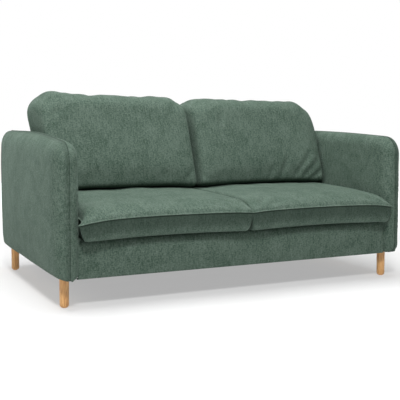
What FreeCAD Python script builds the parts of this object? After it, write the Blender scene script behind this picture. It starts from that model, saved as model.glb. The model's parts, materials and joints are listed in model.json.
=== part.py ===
import FreeCAD, Part
import os

import Sketcher
from FreeCAD import Placement, Rotation, Vector

# A two-seat sofa on four dowel legs. Millimetres, +Z up, the front faces -Y, and the origin is on
# the floor under the centre of the sofa's box. Each arm is a padded slab whose two covers meet in
# one seam, in the upright plane through the middle of the arm and over its two legs.

doc = FreeCAD.newDocument("Sofa")
sheet = doc.addObject("Spreadsheet::Sheet", "Sizes")

SIZES = {
    # arms
    "arm_seam_offset": 749, "arm_outer_bulge": 55, "arm_inner_bulge": 48, "arm_depth": 1060,
    "arm_bottom": 115, "arm_top_front": 632, "arm_top_rear": 673, "arm_corner": 62,
    "arm_edge": 42, "cover_thickness": 3,
    # timber frame of the arms
    "post_thickness": 44, "post_width": 50, "arm_frame_inset": 60, "arm_frame_top": 596,
    "arm_bottom_rail": 70, "arm_top_rail": 40, "side_board": 3, "post_setback": 62,
    # base between the arms
    "base_recess": 32, "base_bottom": 113, "deck_height": 262, "rail_thickness": 25,
    "rail_lift": 4, "rail_height": 116, "front_padding": 11, "deck_padding": 15,
    "insulator": 5, "spring_rail_depth": 660, "block_leg": 70, "block_height": 60,
    # springs
    "wire": 4, "spring_width": 46, "spring_pitch": 30, "spring_spacing": 164, "clip_width": 18,
    # legs
    "leg_diameter": 37, "foot_round": 13, "leg_setback": 95, "leg_spacing": 855,
    "bolt_diameter": 8, "bolt_length": 105, "bolt_in_leg": 32, "nut_diameter": 20,
    "nut_thickness": 3,
    # cushions
    "cushion_overhang": 40, "cushion_gap": 2, "side_clearance": 1, "lift_clearance": 0.5,
    "seat_depth": 688, "seat_thickness": 148, "seat_edge": 34, "back_lean": 20,
    "back_gap": 2, "back_thickness": 198, "back_length": 556, "back_edge": 56,
    # back
    "back_cover_gap": 1, "back_pad": 24, "back_frame_thickness": 36, "back_frame_foot": 30,
    "back_frame_length": 392, "back_rail": 56, "back_top": 652, "back_top_padding": 14,
    "webbing_width": 50, "webbing_pitch": 130, "webbing_thickness": 2, "rear_padding": 6,
    "dust_cover": 2,
    # bolts that hold the arms to the base and to the back
    "arm_bolt": 8, "arm_bolt_length": 88, "arm_bolt_head": 20, "arm_bolt_head_height": 4,
    "arm_bolt_offset": 300,
}

for row, (alias, value) in enumerate(SIZES.items(), start=1):
    sheet.set(f"A{row}", alias)
    sheet.set(f"B{row}", str(value))
    sheet.setAlias(f"B{row}", alias)
doc.recompute()

# Places that many pieces share, as formulas on the sheet.
FRONT = "(Sizes.cushion_overhang - Sizes.arm_depth) / 2"
REAR = "(Sizes.cushion_overhang + Sizes.arm_depth) / 2"
INNER_FACE = "(Sizes.arm_seam_offset - Sizes.arm_inner_bulge)"
BASE_FRONT = f"({FRONT} + Sizes.base_recess)"
RAIL_FRONT = f"({BASE_FRONT} + Sizes.cover_thickness + Sizes.front_padding)"
RAIL_BACK = f"({RAIL_FRONT} + Sizes.rail_thickness)"
RAIL_BOTTOM = "(Sizes.base_bottom + Sizes.rail_lift)"
RAIL_TOP = f"({RAIL_BOTTOM} + Sizes.rail_height)"
SPRING_RAIL = f"({FRONT} + Sizes.spring_rail_depth)"
INSIDE = f"({INNER_FACE} - Sizes.rail_thickness)"
REAR_FACE = f"({REAR} - Sizes.cover_thickness - Sizes.rear_padding)"
REAR_RAIL = f"({REAR_FACE} - Sizes.rail_thickness)"
SEAT_REAR = f"({FRONT} - Sizes.cushion_overhang + Sizes.seat_depth)"
FRAME_FRONT = f"({FRONT} + Sizes.arm_frame_inset)"
FRAME_REAR = f"({REAR} - Sizes.arm_frame_inset)"
LEAN = "Sizes.back_lean"
SIDES = (("left", -1), ("right", 1))
SPRING_COUNT = 8
WEBBING_COUNT = 10
TOLERANCE = 0.1

parts = []


def number(formula):
    """Return a formula's value in millimetres or degrees."""
    value = sheet.evalExpression(formula)
    return float(getattr(value, "Value", value))


def bind(thing, **formulas):
    """Bind properties to formulas. A double underscore in a name stands for a dot."""
    for name, formula in formulas.items():
        thing.setExpression(name.replace("__", "."), formula)


def keep(thing, label):
    """List an object as a sub-part under its label."""
    thing.Label = label
    parts.append(thing)
    return thing


def place(thing, x="0", y="0", z="0"):
    """Bind an object's position."""
    bind(thing, Placement__Base__x=x, Placement__Base__y=y, Placement__Base__z=z)


def sized_box(name, low, high):
    """Return a Part box with the size between two corners, each three formulas."""
    box = doc.addObject("Part::Box", name)
    bind(
        box,
        Length=f"({high[0]}) - ({low[0]})",
        Width=f"({high[1]}) - ({low[1]})",
        Height=f"({high[2]}) - ({low[2]})",
    )
    return box


def block(name, low, high):
    """Return a Part box between two corners, each three formulas."""
    box = sized_box(name, low, high)
    place(box, *low)
    return box


def mirrored(sign, near, far):
    """Return the low and high x formulas of a span on one side of the middle plane."""
    if sign < 0:
        return f"-({far})", f"-({near})"
    return near, far


def cylinder(name, radius, height, x, y, z, axis=None):
    """Return a Part cylinder with bound sizes and place. axis is its direction, +Z if None."""
    rod = doc.addObject("Part::Cylinder", name)
    if axis:
        rod.Placement = Placement(Vector(), Rotation(Vector(0, 0, 1), Vector(*axis)))
    bind(rod, Radius=radius, Height=height)
    place(rod, x, y, z)
    return rod


def group(label, pieces):
    """Join like pieces in one node as separate solids."""
    compound = doc.addObject("Part::Compound", label)
    compound.Links = pieces
    return keep(compound, label)


def cut(name, base, *tools):
    """Return the base without the tools."""
    for count, tool in enumerate(tools):
        difference = doc.addObject("Part::Cut", f"{name}_{count}")
        difference.Base = base
        difference.Tool = tool
        base = difference
    return base


def sketch_on(body, role, corners):
    """Add a closed outline of straight lines, each corner bound to two formulas."""
    plane = [face for face in body.Origin.OriginFeatures if face.Role == role][0]
    sketch = body.newObject("Sketcher::SketchObject", f"{body.Name}_outline")
    sketch.AttachmentSupport = [(plane, "")]
    sketch.MapMode = "FlatFace"
    points = [Vector(number(across), number(up), 0) for across, up in corners]
    for start, end in zip(points, points[1:] + points[:1]):
        sketch.addGeometry(Part.LineSegment(start, end))
    count = len(points)
    for line in range(count):
        sketch.addConstraint(Sketcher.Constraint("Coincident", line, 2, (line + 1) % count, 1))
    for line, formulas in enumerate(corners):
        for kind, value, formula in zip(("DistanceX", "DistanceY"), points[line], formulas):
            index = sketch.addConstraint(Sketcher.Constraint(kind, -1, 1, line, 1, value))
            sketch.setExpression(f"Constraints[{index}]", formula)
    return sketch


def rounded(body, name, radius, chosen):
    """Fillet the tip's edges that the test chooses."""
    doc.recompute()
    tip = body.Tip
    names = [f"Edge{i}" for i, edge in enumerate(tip.Shape.Edges, start=1) if chosen(edge)]
    fillet = body.newObject("PartDesign::Fillet", name)
    fillet.Base = (tip, names)
    fillet.Radius = number(radius)
    fillet.setExpression("Radius", radius)
    return fillet


def slab(name, role, corners, thickness, reverse=False):
    """Return a PartDesign body: an outline padded to a thickness."""
    body = doc.addObject("PartDesign::Body", name)
    sketch = sketch_on(body, role, corners)
    pad = body.newObject("PartDesign::Pad", f"{name}_pad")
    pad.Profile = sketch
    pad.Reversed = reverse
    pad.Length = number(thickness)
    pad.setExpression("Length", thickness)
    return body


# ---- legs -----------------------------------------------------------------------------------


def leg(label, x, y):
    """A turned dowel with a domed foot and a bore in its top for the hanger bolt."""
    body = doc.addObject("PartDesign::Body", f"{label}_dowel")
    radius = "Sizes.leg_diameter / 2"
    height = "Sizes.arm_bottom"
    corners = [("0", "0"), (radius, "0"), (radius, height), ("0", height)]
    sketch = sketch_on(body, "XZ_Plane", corners)
    turn = body.newObject("PartDesign::Revolution", f"{label}_turn")
    turn.Profile = sketch
    turn.ReferenceAxis = (sketch, ["V_Axis"])
    turn.Angle = 360
    rounded(body, f"{label}_foot", "Sizes.foot_round",
            lambda edge: edge.BoundBox.ZMax < TOLERANCE)
    bore = cylinder(f"{label}_bore", "Sizes.bolt_diameter / 2", "Sizes.bolt_in_leg",
                    x, y, "Sizes.arm_bottom - Sizes.bolt_in_leg")
    place(body, x, y)
    return keep(cut(f"{label}_bored", body, bore), label)


LEG_PLACES = [
    (f"leg_{end}_{side}", f"{sign} * Sizes.arm_seam_offset", f"{FRONT} + Sizes.leg_setback{extra}")
    for side, sign in SIDES
    for end, extra in (("front", ""), ("rear", " + Sizes.leg_spacing"))
]
for leg_label, leg_x, leg_y in LEG_PLACES:
    leg(leg_label, leg_x, leg_y)

group("hanger_bolts", [
    cylinder(f"{name}_bolt", "Sizes.bolt_diameter / 2", "Sizes.bolt_length",
             x, y, "Sizes.arm_bottom - Sizes.bolt_in_leg")
    for name, x, y in LEG_PLACES
])


def bolt_hole(name, x, y):
    """Clearance for one leg's bolt and nut through an arm's bottom rail."""
    return cylinder(f"{name}_hole", "Sizes.bolt_diameter / 2", "Sizes.arm_bottom_rail",
                    x, y, "Sizes.arm_bottom")


nuts = []
for leg_label, leg_x, leg_y in LEG_PLACES:
    top = "Sizes.arm_bottom + Sizes.arm_bottom_rail"
    flange = cylinder(f"{leg_label}_flange", "Sizes.nut_diameter / 2", "Sizes.nut_thickness",
                      leg_x, leg_y, top)
    hole = cylinder(f"{leg_label}_thread", "Sizes.bolt_diameter / 2", "Sizes.nut_thickness",
                    leg_x, leg_y, top)
    nuts.append(cut(f"{leg_label}_nut", flange, hole))
group("leg_nuts", nuts)

# ---- arms -----------------------------------------------------------------------------------


def arm_slab(name, bulge, inset, reverse, sign):
    """Half of an arm from its seam plane outwards, crowned by rounding its far edges."""
    corners = [
        (f"{FRONT} + {inset}", f"Sizes.arm_bottom + {inset}"),
        (f"{REAR} - {inset}", f"Sizes.arm_bottom + {inset}"),
        (f"{REAR} - {inset}", f"Sizes.arm_top_rear - {inset}"),
        (f"{FRONT} + {inset}", f"Sizes.arm_top_front - {inset}"),
    ]
    body = slab(name, "YZ_Plane", corners, f"{bulge} - {inset}", reverse)
    far = number(f"{bulge} - {inset}")
    rounded(body, f"{name}_corners", f"Sizes.arm_corner - {inset}",
            lambda edge: edge.BoundBox.XLength > far / 2)
    rounded(body, f"{name}_crown", f"Sizes.arm_edge - {inset}",
            lambda edge: abs(edge.CenterOfMass.x) > far - TOLERANCE)
    place(body, x=f"{sign} * Sizes.arm_seam_offset")
    return body


def arm_bolt_shanks(use):
    """Return the shanks of the bolts that hold the arms, from inside the base, by place."""
    shanks = []
    for side, sign in SIDES:
        for end, y_sign in (("front", -1), ("rear", 1)):
            name = f"{end}_{side}"
            shanks.append((name, cylinder(
                f"arm_bolt_{use}_{name}", "Sizes.arm_bolt / 2", "Sizes.arm_bolt_length",
                f"{sign} * {INSIDE}", f"{y_sign} * Sizes.arm_bolt_offset",
                "Sizes.arm_bottom + Sizes.arm_bottom_rail / 2", (sign, 0, 0))))
    return shanks


def arm_bolt_heads():
    """Return the heads of the same bolts, against the inside of the base."""
    return [
        cylinder(f"arm_bolt_head_{side}_{end}", "Sizes.arm_bolt_head / 2",
                 "Sizes.arm_bolt_head_height", f"{sign} * {INSIDE}",
                 f"{y_sign} * Sizes.arm_bolt_offset",
                 "Sizes.arm_bottom + Sizes.arm_bottom_rail / 2", (-sign, 0, 0))
        for side, sign in SIDES
        for end, y_sign in (("front", -1), ("rear", 1))
    ]


def arm(side, sign):
    """One arm: a timber frame with side boards, padding and a cover on each face."""
    half = "Sizes.post_thickness / 2"
    seam = "Sizes.arm_seam_offset"
    near, far = mirrored(sign, f"{seam} - {half}", f"{seam} + {half}")
    rail_top = "Sizes.arm_bottom + Sizes.arm_bottom_rail"
    post_top = "Sizes.arm_frame_top - Sizes.arm_top_rail"
    middle = f"({FRAME_FRONT} + {FRAME_REAR} - Sizes.post_width) / 2"
    bottom = block(f"arm_bottom_block_{side}", (near, FRAME_FRONT, "Sizes.arm_bottom"),
                   (far, FRAME_REAR, rail_top))
    holes = [bolt_hole(name, x, y) for name, x, y in LEG_PLACES if name.endswith(side)]
    shanks = [shank for name, shank in arm_bolt_shanks("bottom_rail") if name.endswith(side)]
    keep(cut(f"arm_bottom_drilled_{side}", bottom, *holes, *shanks), f"arm_bottom_rail_{side}")
    keep(block(f"arm_top_block_{side}", (near, FRAME_FRONT, post_top),
               (far, FRAME_REAR, "Sizes.arm_frame_top")), f"arm_top_rail_{side}")
    group(f"arm_posts_{side}", [
        block(f"arm_{name}_post_{side}", (near, start, rail_top),
              (far, f"{start} + Sizes.post_width", post_top))
        for name, start in (
            ("front", f"{FRAME_FRONT} + Sizes.post_setback"),
            ("middle", middle),
            ("rear", f"{FRAME_REAR} - Sizes.post_setback - Sizes.post_width"),
        )
    ])
    boards = []
    for face, inwards in (("outer", 1), ("inner", -1)):
        span = (f"{seam} + {inwards} * {half}", f"{seam} + {inwards} * ({half} + Sizes.side_board)")
        low, high = mirrored(sign, *(span if inwards > 0 else span[::-1]))
        board = block(f"arm_board_{face}_{side}", (low, FRAME_FRONT, "Sizes.arm_bottom"),
                      (high, FRAME_REAR, "Sizes.arm_frame_top"))
        drills = [rod for name, rod in arm_bolt_shanks(face) if name.endswith(side)]
        boards.append(cut(f"arm_board_drilled_{face}_{side}", board, *drills))
        bulge = f"Sizes.arm_{face}_bulge"
        reverse = sign * inwards < 0
        skin = arm_slab(f"arm_{face}_skin_{side}", bulge, "0", reverse, sign)
        fill = arm_slab(f"arm_{face}_fill_{side}", bulge, "Sizes.cover_thickness", reverse, sign)
        deep = f"({half} + Sizes.side_board)"
        room_low, room_high = mirrored(sign, f"{seam} - {deep}", f"{seam} + {deep}")
        room = block(f"arm_{face}_room_{side}", (room_low, FRAME_FRONT, "Sizes.base_bottom"),
                     (room_high, FRAME_REAR, "Sizes.arm_frame_top"))
        tools = [room, *drills] if face == "inner" else [room]
        keep(cut(f"arm_{face}_shell_{side}", skin, fill, *tools), f"arm_{face}_cover_{side}")
        keep(cut(f"arm_{face}_foam_{side}", fill, *tools), f"arm_{face}_padding_{side}")
    group(f"arm_side_boards_{side}", boards)


for arm_side, arm_sign in SIDES:
    arm(arm_side, arm_sign)

bolts = []
for (bolt_name, shank), head in zip(arm_bolt_shanks("bolt"), arm_bolt_heads()):
    bolt = doc.addObject("Part::Fuse", f"arm_bolt_{bolt_name}")
    bolt.Base = head
    bolt.Tool = shank
    bolts.append(bolt)
group("arm_bolts", bolts)

# ---- base -----------------------------------------------------------------------------------

DECK_LOW = "Sizes.deck_height - Sizes.cover_thickness"
PAD_LOW = f"{DECK_LOW} - Sizes.deck_padding"
FELT_LOW = f"{PAD_LOW} - Sizes.insulator"

keep(block("front_rail_block", (f"-{INNER_FACE}", RAIL_FRONT, RAIL_BOTTOM),
           (INNER_FACE, RAIL_BACK, RAIL_TOP)), "base_front_rail")
keep(block("rear_rail_block", (f"-{INNER_FACE}", REAR_RAIL, RAIL_BOTTOM),
           (INNER_FACE, REAR_FACE, RAIL_TOP)), "base_rear_rail")
keep(block("spring_rail_block", (f"-{INSIDE}", SPRING_RAIL, RAIL_BOTTOM),
           (INSIDE, f"{SPRING_RAIL} + Sizes.rail_thickness", RAIL_TOP)), "base_spring_rail")
for rail_side, rail_sign in SIDES:
    side_low, side_high = mirrored(rail_sign, INSIDE, INNER_FACE)
    side_rail = block(f"side_rail_block_{rail_side}", (side_low, RAIL_BACK, RAIL_BOTTOM),
                      (side_high, REAR_RAIL, RAIL_TOP))
    rail_holes = [rod for name, rod in arm_bolt_shanks("side_rail") if name.endswith(rail_side)]
    keep(cut(f"side_rail_drilled_{rail_side}", side_rail, *rail_holes),
         f"base_side_rail_{rail_side}")
keep(block("centre_rail_block", ("-Sizes.rail_thickness / 2", RAIL_BACK, RAIL_BOTTOM),
           ("Sizes.rail_thickness / 2", SPRING_RAIL, f"{RAIL_TOP} - Sizes.block_leg / 2")),
     "base_centre_rail")


def corner_block(name, x, y, x_sign, y_sign):
    """A triangular glue block that fills an inner corner of the base."""
    reach = "Sizes.block_leg"
    corners = [("0", "0"), (f"{x_sign} * {reach}", "0"), ("0", f"{y_sign} * {reach}")]
    body = slab(name, "XY_Plane", corners, "Sizes.block_height")
    place(body, x, y, f"{RAIL_BOTTOM} + Sizes.block_height / 4")
    return body


group("corner_blocks", [
    corner_block(f"corner_{end}_{side}", f"{sign} * {INSIDE}", y, -sign, inwards)
    for side, sign in SIDES
    for end, y, inwards in (("front", RAIL_BACK, 1), ("rear", REAR_RAIL, -1))
])

# ---- springs and deck -----------------------------------------------------------------------


def spring_wire(x, start, end, z):
    """One sinuous spring: cross bars joined by half turns, swept from a single wire."""
    pitch = number("Sizes.spring_pitch")
    reach = (number("Sizes.spring_width") - pitch) / 2
    bars = int((end - start) // pitch)
    first = start + ((end - start) - (bars - 1) * pitch) / 2
    edges = []
    for bar in range(bars):
        y = first + bar * pitch
        sign = 1 if bar % 2 == 0 else -1
        near, far = Vector(x - sign * reach, y, z), Vector(x + sign * reach, y, z)
        edges.append(Part.LineSegment(near, far).toShape())
        if bar < bars - 1:
            crest = Vector(x + sign * (reach + pitch / 2), y + pitch / 2, z)
            edges.append(Part.Arc(far, crest, Vector(far.x, y + pitch, z)).toShape())
    path = Part.Wire(edges)
    start_bar = edges[0].Vertexes[0].Point
    ring = Part.makeCircle(number("Sizes.wire") / 2, start_bar, Vector(1, 0, 0))
    return path.makePipeShell([Part.Wire([ring])], True, False)


SPRING_Z = number(f"{FELT_LOW} - Sizes.wire / 2")
spring_start = number(RAIL_FRONT) + number("Sizes.rail_thickness") / 4
spring_end = number(SPRING_RAIL) + 3 * number("Sizes.rail_thickness") / 4
spacing = number("Sizes.spring_spacing")
spring_steps = [step - (SPRING_COUNT - 1) / 2 for step in range(SPRING_COUNT)]

springs = doc.addObject("Part::Feature", "seat_springs")
springs.Shape = Part.makeCompound([
    spring_wire(step * spacing, spring_start, spring_end, SPRING_Z) for step in spring_steps
])
springs.Placement = Placement(Vector(), Rotation())
keep(springs, "seat_springs")

clip_foot = f"{FELT_LOW} - Sizes.wire"
clips = []
for clip_row, clip_y in (("front", RAIL_FRONT), ("rear", SPRING_RAIL)):
    for clip_number, step in enumerate(spring_steps):
        clip_x = f"{step} * Sizes.spring_spacing"
        clips.append(block(
            f"clip_{clip_row}_{clip_number}",
            (f"{clip_x} - Sizes.clip_width / 2", clip_y, RAIL_TOP),
            (f"{clip_x} + Sizes.clip_width / 2", f"{clip_y} + Sizes.rail_thickness", clip_foot),
        ))
group("spring_clips", clips)

DECK_REAR = f"({SPRING_RAIL} + Sizes.rail_thickness)"
keep(block("insulator_block", (f"-{INNER_FACE}", RAIL_FRONT, FELT_LOW),
           (INNER_FACE, DECK_REAR, PAD_LOW)), "spring_insulator")
keep(block("deck_pad_block", (f"-{INNER_FACE}", RAIL_FRONT, PAD_LOW),
           (INNER_FACE, DECK_REAR, DECK_LOW)), "deck_padding")
keep(block("deck_cover_block", (f"-{INNER_FACE}", BASE_FRONT, DECK_LOW),
           (INNER_FACE, DECK_REAR, "Sizes.deck_height")), "deck_cover")
keep(block("front_pad_block", (f"-{INNER_FACE}", f"{BASE_FRONT} + Sizes.cover_thickness",
                               RAIL_BOTTOM), (INNER_FACE, RAIL_FRONT, DECK_LOW)),
     "front_padding")
keep(block("front_cover_block", (f"-{INNER_FACE}", BASE_FRONT, "Sizes.base_bottom"),
           (INNER_FACE, f"{BASE_FRONT} + Sizes.cover_thickness", DECK_LOW)), "front_cover")
keep(block("dust_block", (f"-{INNER_FACE}", f"{BASE_FRONT} + Sizes.cover_thickness",
                          f"{RAIL_BOTTOM} - Sizes.dust_cover"),
           (INNER_FACE, REAR_FACE, RAIL_BOTTOM)), "underside_dust_cover")

# ---- back -----------------------------------------------------------------------------------

# The back leans about a line behind the seat cushions, level with the deck. The back cushions'
# rear face is the plane through that line.
LEAN_Y = f"({SEAT_REAR} + Sizes.back_gap)"
LEAN_Z = "(Sizes.deck_height + Sizes.lift_clearance)"
SEAT_TOP = f"({LEAN_Z} + Sizes.seat_thickness)"
COSINE = f"cos({LEAN} * 1deg)"
SINE = f"sin({LEAN} * 1deg)"


def lean_y(behind, up):
    """The y of a point that far behind the cushions' rear face and that far up the lean."""
    return f"({LEAN_Y} + ({behind}) * {COSINE} + ({up}) * {SINE})"


def lean_z(behind, up):
    """The z of the same point."""
    return f"({LEAN_Z} - ({behind}) * {SINE} + ({up}) * {COSINE})"


def up_at(behind, height):
    """How far up the lean a line that far behind the rear face reaches a height."""
    return f"((({height}) - {LEAN_Z} + ({behind}) * {SINE}) / {COSINE})"


def leaning(name, low, high):
    """Return a box in the leaning frame: x across, y behind the cushions, z up the lean."""
    box = sized_box(name, low, high)
    lean_place(box, *low)
    return box


def lean_place(thing, x, y, z):
    """Bind a place in the leaning frame, with the lean as its rotation."""
    thing.Placement = Placement(Vector(), Rotation(Vector(-1, 0, 0), number(LEAN)))
    bind(thing, Placement__Rotation__Angle=LEAN)
    place(thing, x, lean_y(y, z), lean_z(y, z))


COVER_FACE = "Sizes.back_cover_gap"
COVER_BACK = f"{COVER_FACE} + Sizes.cover_thickness"
PAD_BACK = f"{COVER_BACK} + Sizes.back_pad"
WEB_BACK = f"{PAD_BACK} + Sizes.webbing_thickness"
POST_BACK = f"{WEB_BACK} + Sizes.back_frame_thickness"
FOOT = "Sizes.back_frame_foot"
HEAD = "Sizes.back_frame_length"

keep(leaning("inner_cover_block", (f"-{INNER_FACE}", COVER_FACE, FOOT),
             (INNER_FACE, COVER_BACK, HEAD)), "back_inner_cover")
keep(leaning("inner_pad_block", (f"-{INNER_FACE}", COVER_BACK, FOOT),
             (INNER_FACE, PAD_BACK, HEAD)), "back_inner_padding")
keep(leaning("lower_rail_block", (f"-{INNER_FACE}", WEB_BACK, FOOT),
             (INNER_FACE, POST_BACK, f"{FOOT} + Sizes.back_rail")), "back_lower_rail")
keep(leaning("upper_rail_block", (f"-{INNER_FACE}", WEB_BACK, f"{HEAD} - Sizes.back_rail"),
             (INNER_FACE, POST_BACK, HEAD)), "back_upper_rail")
POST_PLACES = [
    ("left", f"-{INNER_FACE}"),
    ("centre", "-Sizes.post_width / 2"),
    ("right", f"{INNER_FACE} - Sizes.post_width"),
]
group("back_posts", [
    leaning(f"back_post_{name}", (x, WEB_BACK, f"{FOOT} + Sizes.back_rail"),
            (f"{x} + Sizes.post_width", POST_BACK, f"{HEAD} - Sizes.back_rail"))
    for name, x in POST_PLACES
])

strips = []
for strip in range(WEBBING_COUNT):
    strip_x = f"{strip - (WEBBING_COUNT - 1) / 2} * Sizes.webbing_pitch"
    strips.append(leaning(f"web_{strip}", (f"{strip_x} - Sizes.webbing_width / 2", PAD_BACK, FOOT),
                          (f"{strip_x} + Sizes.webbing_width / 2", WEB_BACK, HEAD)))
group("back_webbing", strips)

REAR_TOP = "Sizes.back_top - Sizes.cover_thickness - Sizes.back_top_padding"
group("rear_posts", [
    block(f"rear_post_{name}", (x, REAR_RAIL, RAIL_TOP),
          (f"{x} + Sizes.post_width", REAR_FACE, f"{REAR_TOP} - Sizes.back_rail"))
    for name, x in POST_PLACES
])
keep(block("rear_top_block", (f"-{INNER_FACE}", REAR_RAIL, f"{REAR_TOP} - Sizes.back_rail"),
           (INNER_FACE, REAR_FACE, REAR_TOP)), "rear_top_rail")

TOP_FRONT = (
    f"({LEAN_Y} + (Sizes.back_top - Sizes.deck_height) * tan({LEAN} * 1deg) + Sizes.back_gap)"
)
keep(block("top_pad_block", (f"-{INNER_FACE}", TOP_FRONT, REAR_TOP),
           (INNER_FACE, REAR_FACE, f"{REAR_TOP} + Sizes.back_top_padding")), "back_top_padding")
TOP_LOW = "Sizes.back_top - Sizes.cover_thickness"
REAR_SKIN = f"{REAR} - Sizes.cover_thickness"
keep(block("top_cover_block", (f"-{INNER_FACE}", TOP_FRONT, TOP_LOW),
           (INNER_FACE, REAR_SKIN, "Sizes.back_top")), "back_top_cover")
keep(block("rear_pad_block", (f"-{INNER_FACE}", REAR_FACE, RAIL_BOTTOM),
           (INNER_FACE, REAR_SKIN, TOP_LOW)), "rear_padding")
keep(block("rear_cover_block", (f"-{INNER_FACE}", REAR_SKIN, "Sizes.base_bottom"),
           (INNER_FACE, REAR, "Sizes.back_top")), "rear_cover")

# ---- cushions -------------------------------------------------------------------------------


CUSHION_WIDTH = f"({INNER_FACE} - Sizes.side_clearance - Sizes.cushion_gap / 2)"


def seat_profile(inset):
    """Corners of a seat cushion seen from the side, that far inside its cover."""
    front = f"{FRONT} - Sizes.cushion_overhang + {inset}"
    low, high = f"{LEAN_Z} + {inset}", f"{SEAT_TOP} - {inset}"
    rear = f"{SEAT_REAR} - {inset}"
    return [(front, low), (rear, low), (rear, high), (front, high)]


def back_profile(inset):
    """Corners of a back cushion seen from the side: flat on the seat, and leaning back."""
    front, rear = f"{inset} - Sizes.back_thickness", f"-{inset}"
    foot = f"{SEAT_TOP} + Sizes.lift_clearance + {inset}"
    head = f"Sizes.back_length - {inset}"
    return [
        (lean_y(front, up_at(front, foot)), foot),
        (lean_y(rear, up_at(rear, foot)), foot),
        (lean_y(rear, head), lean_z(rear, head)),
        (lean_y(front, head), lean_z(front, head)),
    ]


def cushion_body(name, profile, inset, radius, start):
    """A cushion's solid that far inside its cover, every edge rounded, from x = start."""
    body = slab(name, "YZ_Plane", profile(inset), f"{CUSHION_WIDTH} - 2 * {inset}")
    rounded(body, f"{name}_edges", f"{radius} - {inset}", lambda edge: True)
    place(body, x=f"{start} + {inset}")
    return body


def cushion(kind, side, sign, profile, radius):
    """One loose cushion: its filling, and a cover around it."""
    start = f"{sign} * ({CUSHION_WIDTH} + Sizes.cushion_gap) / 2 - {CUSHION_WIDTH} / 2"
    cover = cushion_body(f"{kind}_skin_{side}", profile, "0", radius, start)
    filling = cushion_body(f"{kind}_fill_{side}", profile, "Sizes.cover_thickness", radius, start)
    keep(cut(f"{kind}_shell_{side}", cover, filling), f"{kind}_cover_{side}")
    keep(filling, f"{kind}_filling_{side}")


for cushion_side, cushion_sign in SIDES:
    cushion("seat_cushion", cushion_side, cushion_sign, seat_profile, "Sizes.seat_edge")
    cushion("back_cushion", cushion_side, cushion_sign, back_profile, "Sizes.back_edge")

# ---- write ----------------------------------------------------------------------------------

doc.recompute()
for thing in doc.Objects:
    if {"Invalid", "Error"} & set(thing.State):
        raise RuntimeError(f"{thing.Label} did not recompute: {thing.State}")
for part in parts:
    if part.Shape.isNull() or not part.Shape.isValid():
        raise RuntimeError(f"{part.Label} has no valid shape")

os.makedirs("parts", exist_ok=True)
for part in parts:
    part.Shape.exportStep(f"parts/{part.Label}.step")
whole = Part.makeCompound([part.Shape for part in parts])
print(len(parts), "sub-parts,", len(whole.Solids), "solids, box", whole.BoundBox)
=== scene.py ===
"""Looks of a two-seat sofa on turned wooden legs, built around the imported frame, in metres."""

import json
import logging
import math
from dataclasses import dataclass
from enum import Enum
from typing import Any

import bmesh
import bpy
import numpy as np
from mathutils import Euler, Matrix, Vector

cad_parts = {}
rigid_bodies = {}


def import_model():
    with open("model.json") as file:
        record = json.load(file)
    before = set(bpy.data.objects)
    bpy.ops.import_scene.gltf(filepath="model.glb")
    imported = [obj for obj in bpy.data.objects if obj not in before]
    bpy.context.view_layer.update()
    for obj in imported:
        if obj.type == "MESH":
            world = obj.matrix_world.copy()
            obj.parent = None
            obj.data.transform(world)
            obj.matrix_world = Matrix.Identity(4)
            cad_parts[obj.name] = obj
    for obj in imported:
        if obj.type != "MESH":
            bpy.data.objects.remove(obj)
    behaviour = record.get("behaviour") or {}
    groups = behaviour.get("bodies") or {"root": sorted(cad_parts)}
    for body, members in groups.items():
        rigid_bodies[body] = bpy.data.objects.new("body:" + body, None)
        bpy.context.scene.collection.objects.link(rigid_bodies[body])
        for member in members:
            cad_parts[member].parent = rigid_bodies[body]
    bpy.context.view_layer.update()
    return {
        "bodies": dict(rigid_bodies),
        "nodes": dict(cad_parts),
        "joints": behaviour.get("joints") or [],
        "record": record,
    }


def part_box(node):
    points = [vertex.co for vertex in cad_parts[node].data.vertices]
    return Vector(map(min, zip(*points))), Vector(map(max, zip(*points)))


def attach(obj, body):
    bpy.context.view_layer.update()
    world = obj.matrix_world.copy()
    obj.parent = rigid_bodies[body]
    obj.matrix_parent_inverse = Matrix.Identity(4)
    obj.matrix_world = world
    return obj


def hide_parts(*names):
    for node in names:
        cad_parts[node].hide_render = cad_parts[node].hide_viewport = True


LOG = logging.getLogger("sofa")
STRAIGHT = (0.0, 1.0)
Array = np.ndarray
Colour = tuple[float, float, float]
Pair = tuple[float, float]
Triple = tuple[float, float, float]
Ring = tuple[float, float, float, float]
Crease = tuple[float, float, float, float, float, float]


class Side(Enum):
    """Which half of the sofa a piece belongs to; its value is the sign of x there."""

    LEFT = -1
    RIGHT = 1

    @property
    def tag(self) -> str:
        """The side's word in the names of nodes and bodies."""
        return self.name.lower()

    @property
    def edges(self) -> tuple[tuple[int], tuple[int]]:
        """Numbers of the outer and the inner side of a cushion's outline."""
        return self.pick((((3,), (1,)), ((1,), (3,))))

    def pick(self, pair: tuple[Any, Any]) -> Any:
        """The left or the right one of two values."""
        return pair[self is Side.RIGHT]


def placed(name: str, data: Any) -> bpy.types.Object:
    """Put a mesh, camera or light into the scene.

    Args:
        name: the object's name.
        data: what it holds.

    Returns:
        The object, at the origin.
    """
    thing = bpy.data.objects.new(name, data)
    bpy.context.scene.collection.objects.link(thing)
    return thing


def turn_outwards(mesh: bpy.types.Mesh, merge: float = 0.0) -> None:
    """Point a mesh's faces outwards.

    Args:
        mesh: the mesh.
        merge: vertices closer than this are joined first, in metres.
    """
    made = bmesh.new()
    made.from_mesh(mesh)
    if merge:
        bmesh.ops.remove_doubles(made, verts=made.verts, dist=merge)
    bmesh.ops.recalc_face_normals(made, faces=made.faces)
    made.to_mesh(mesh)
    made.free()


# ---------------------------------------------------------------- shader maths


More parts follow.
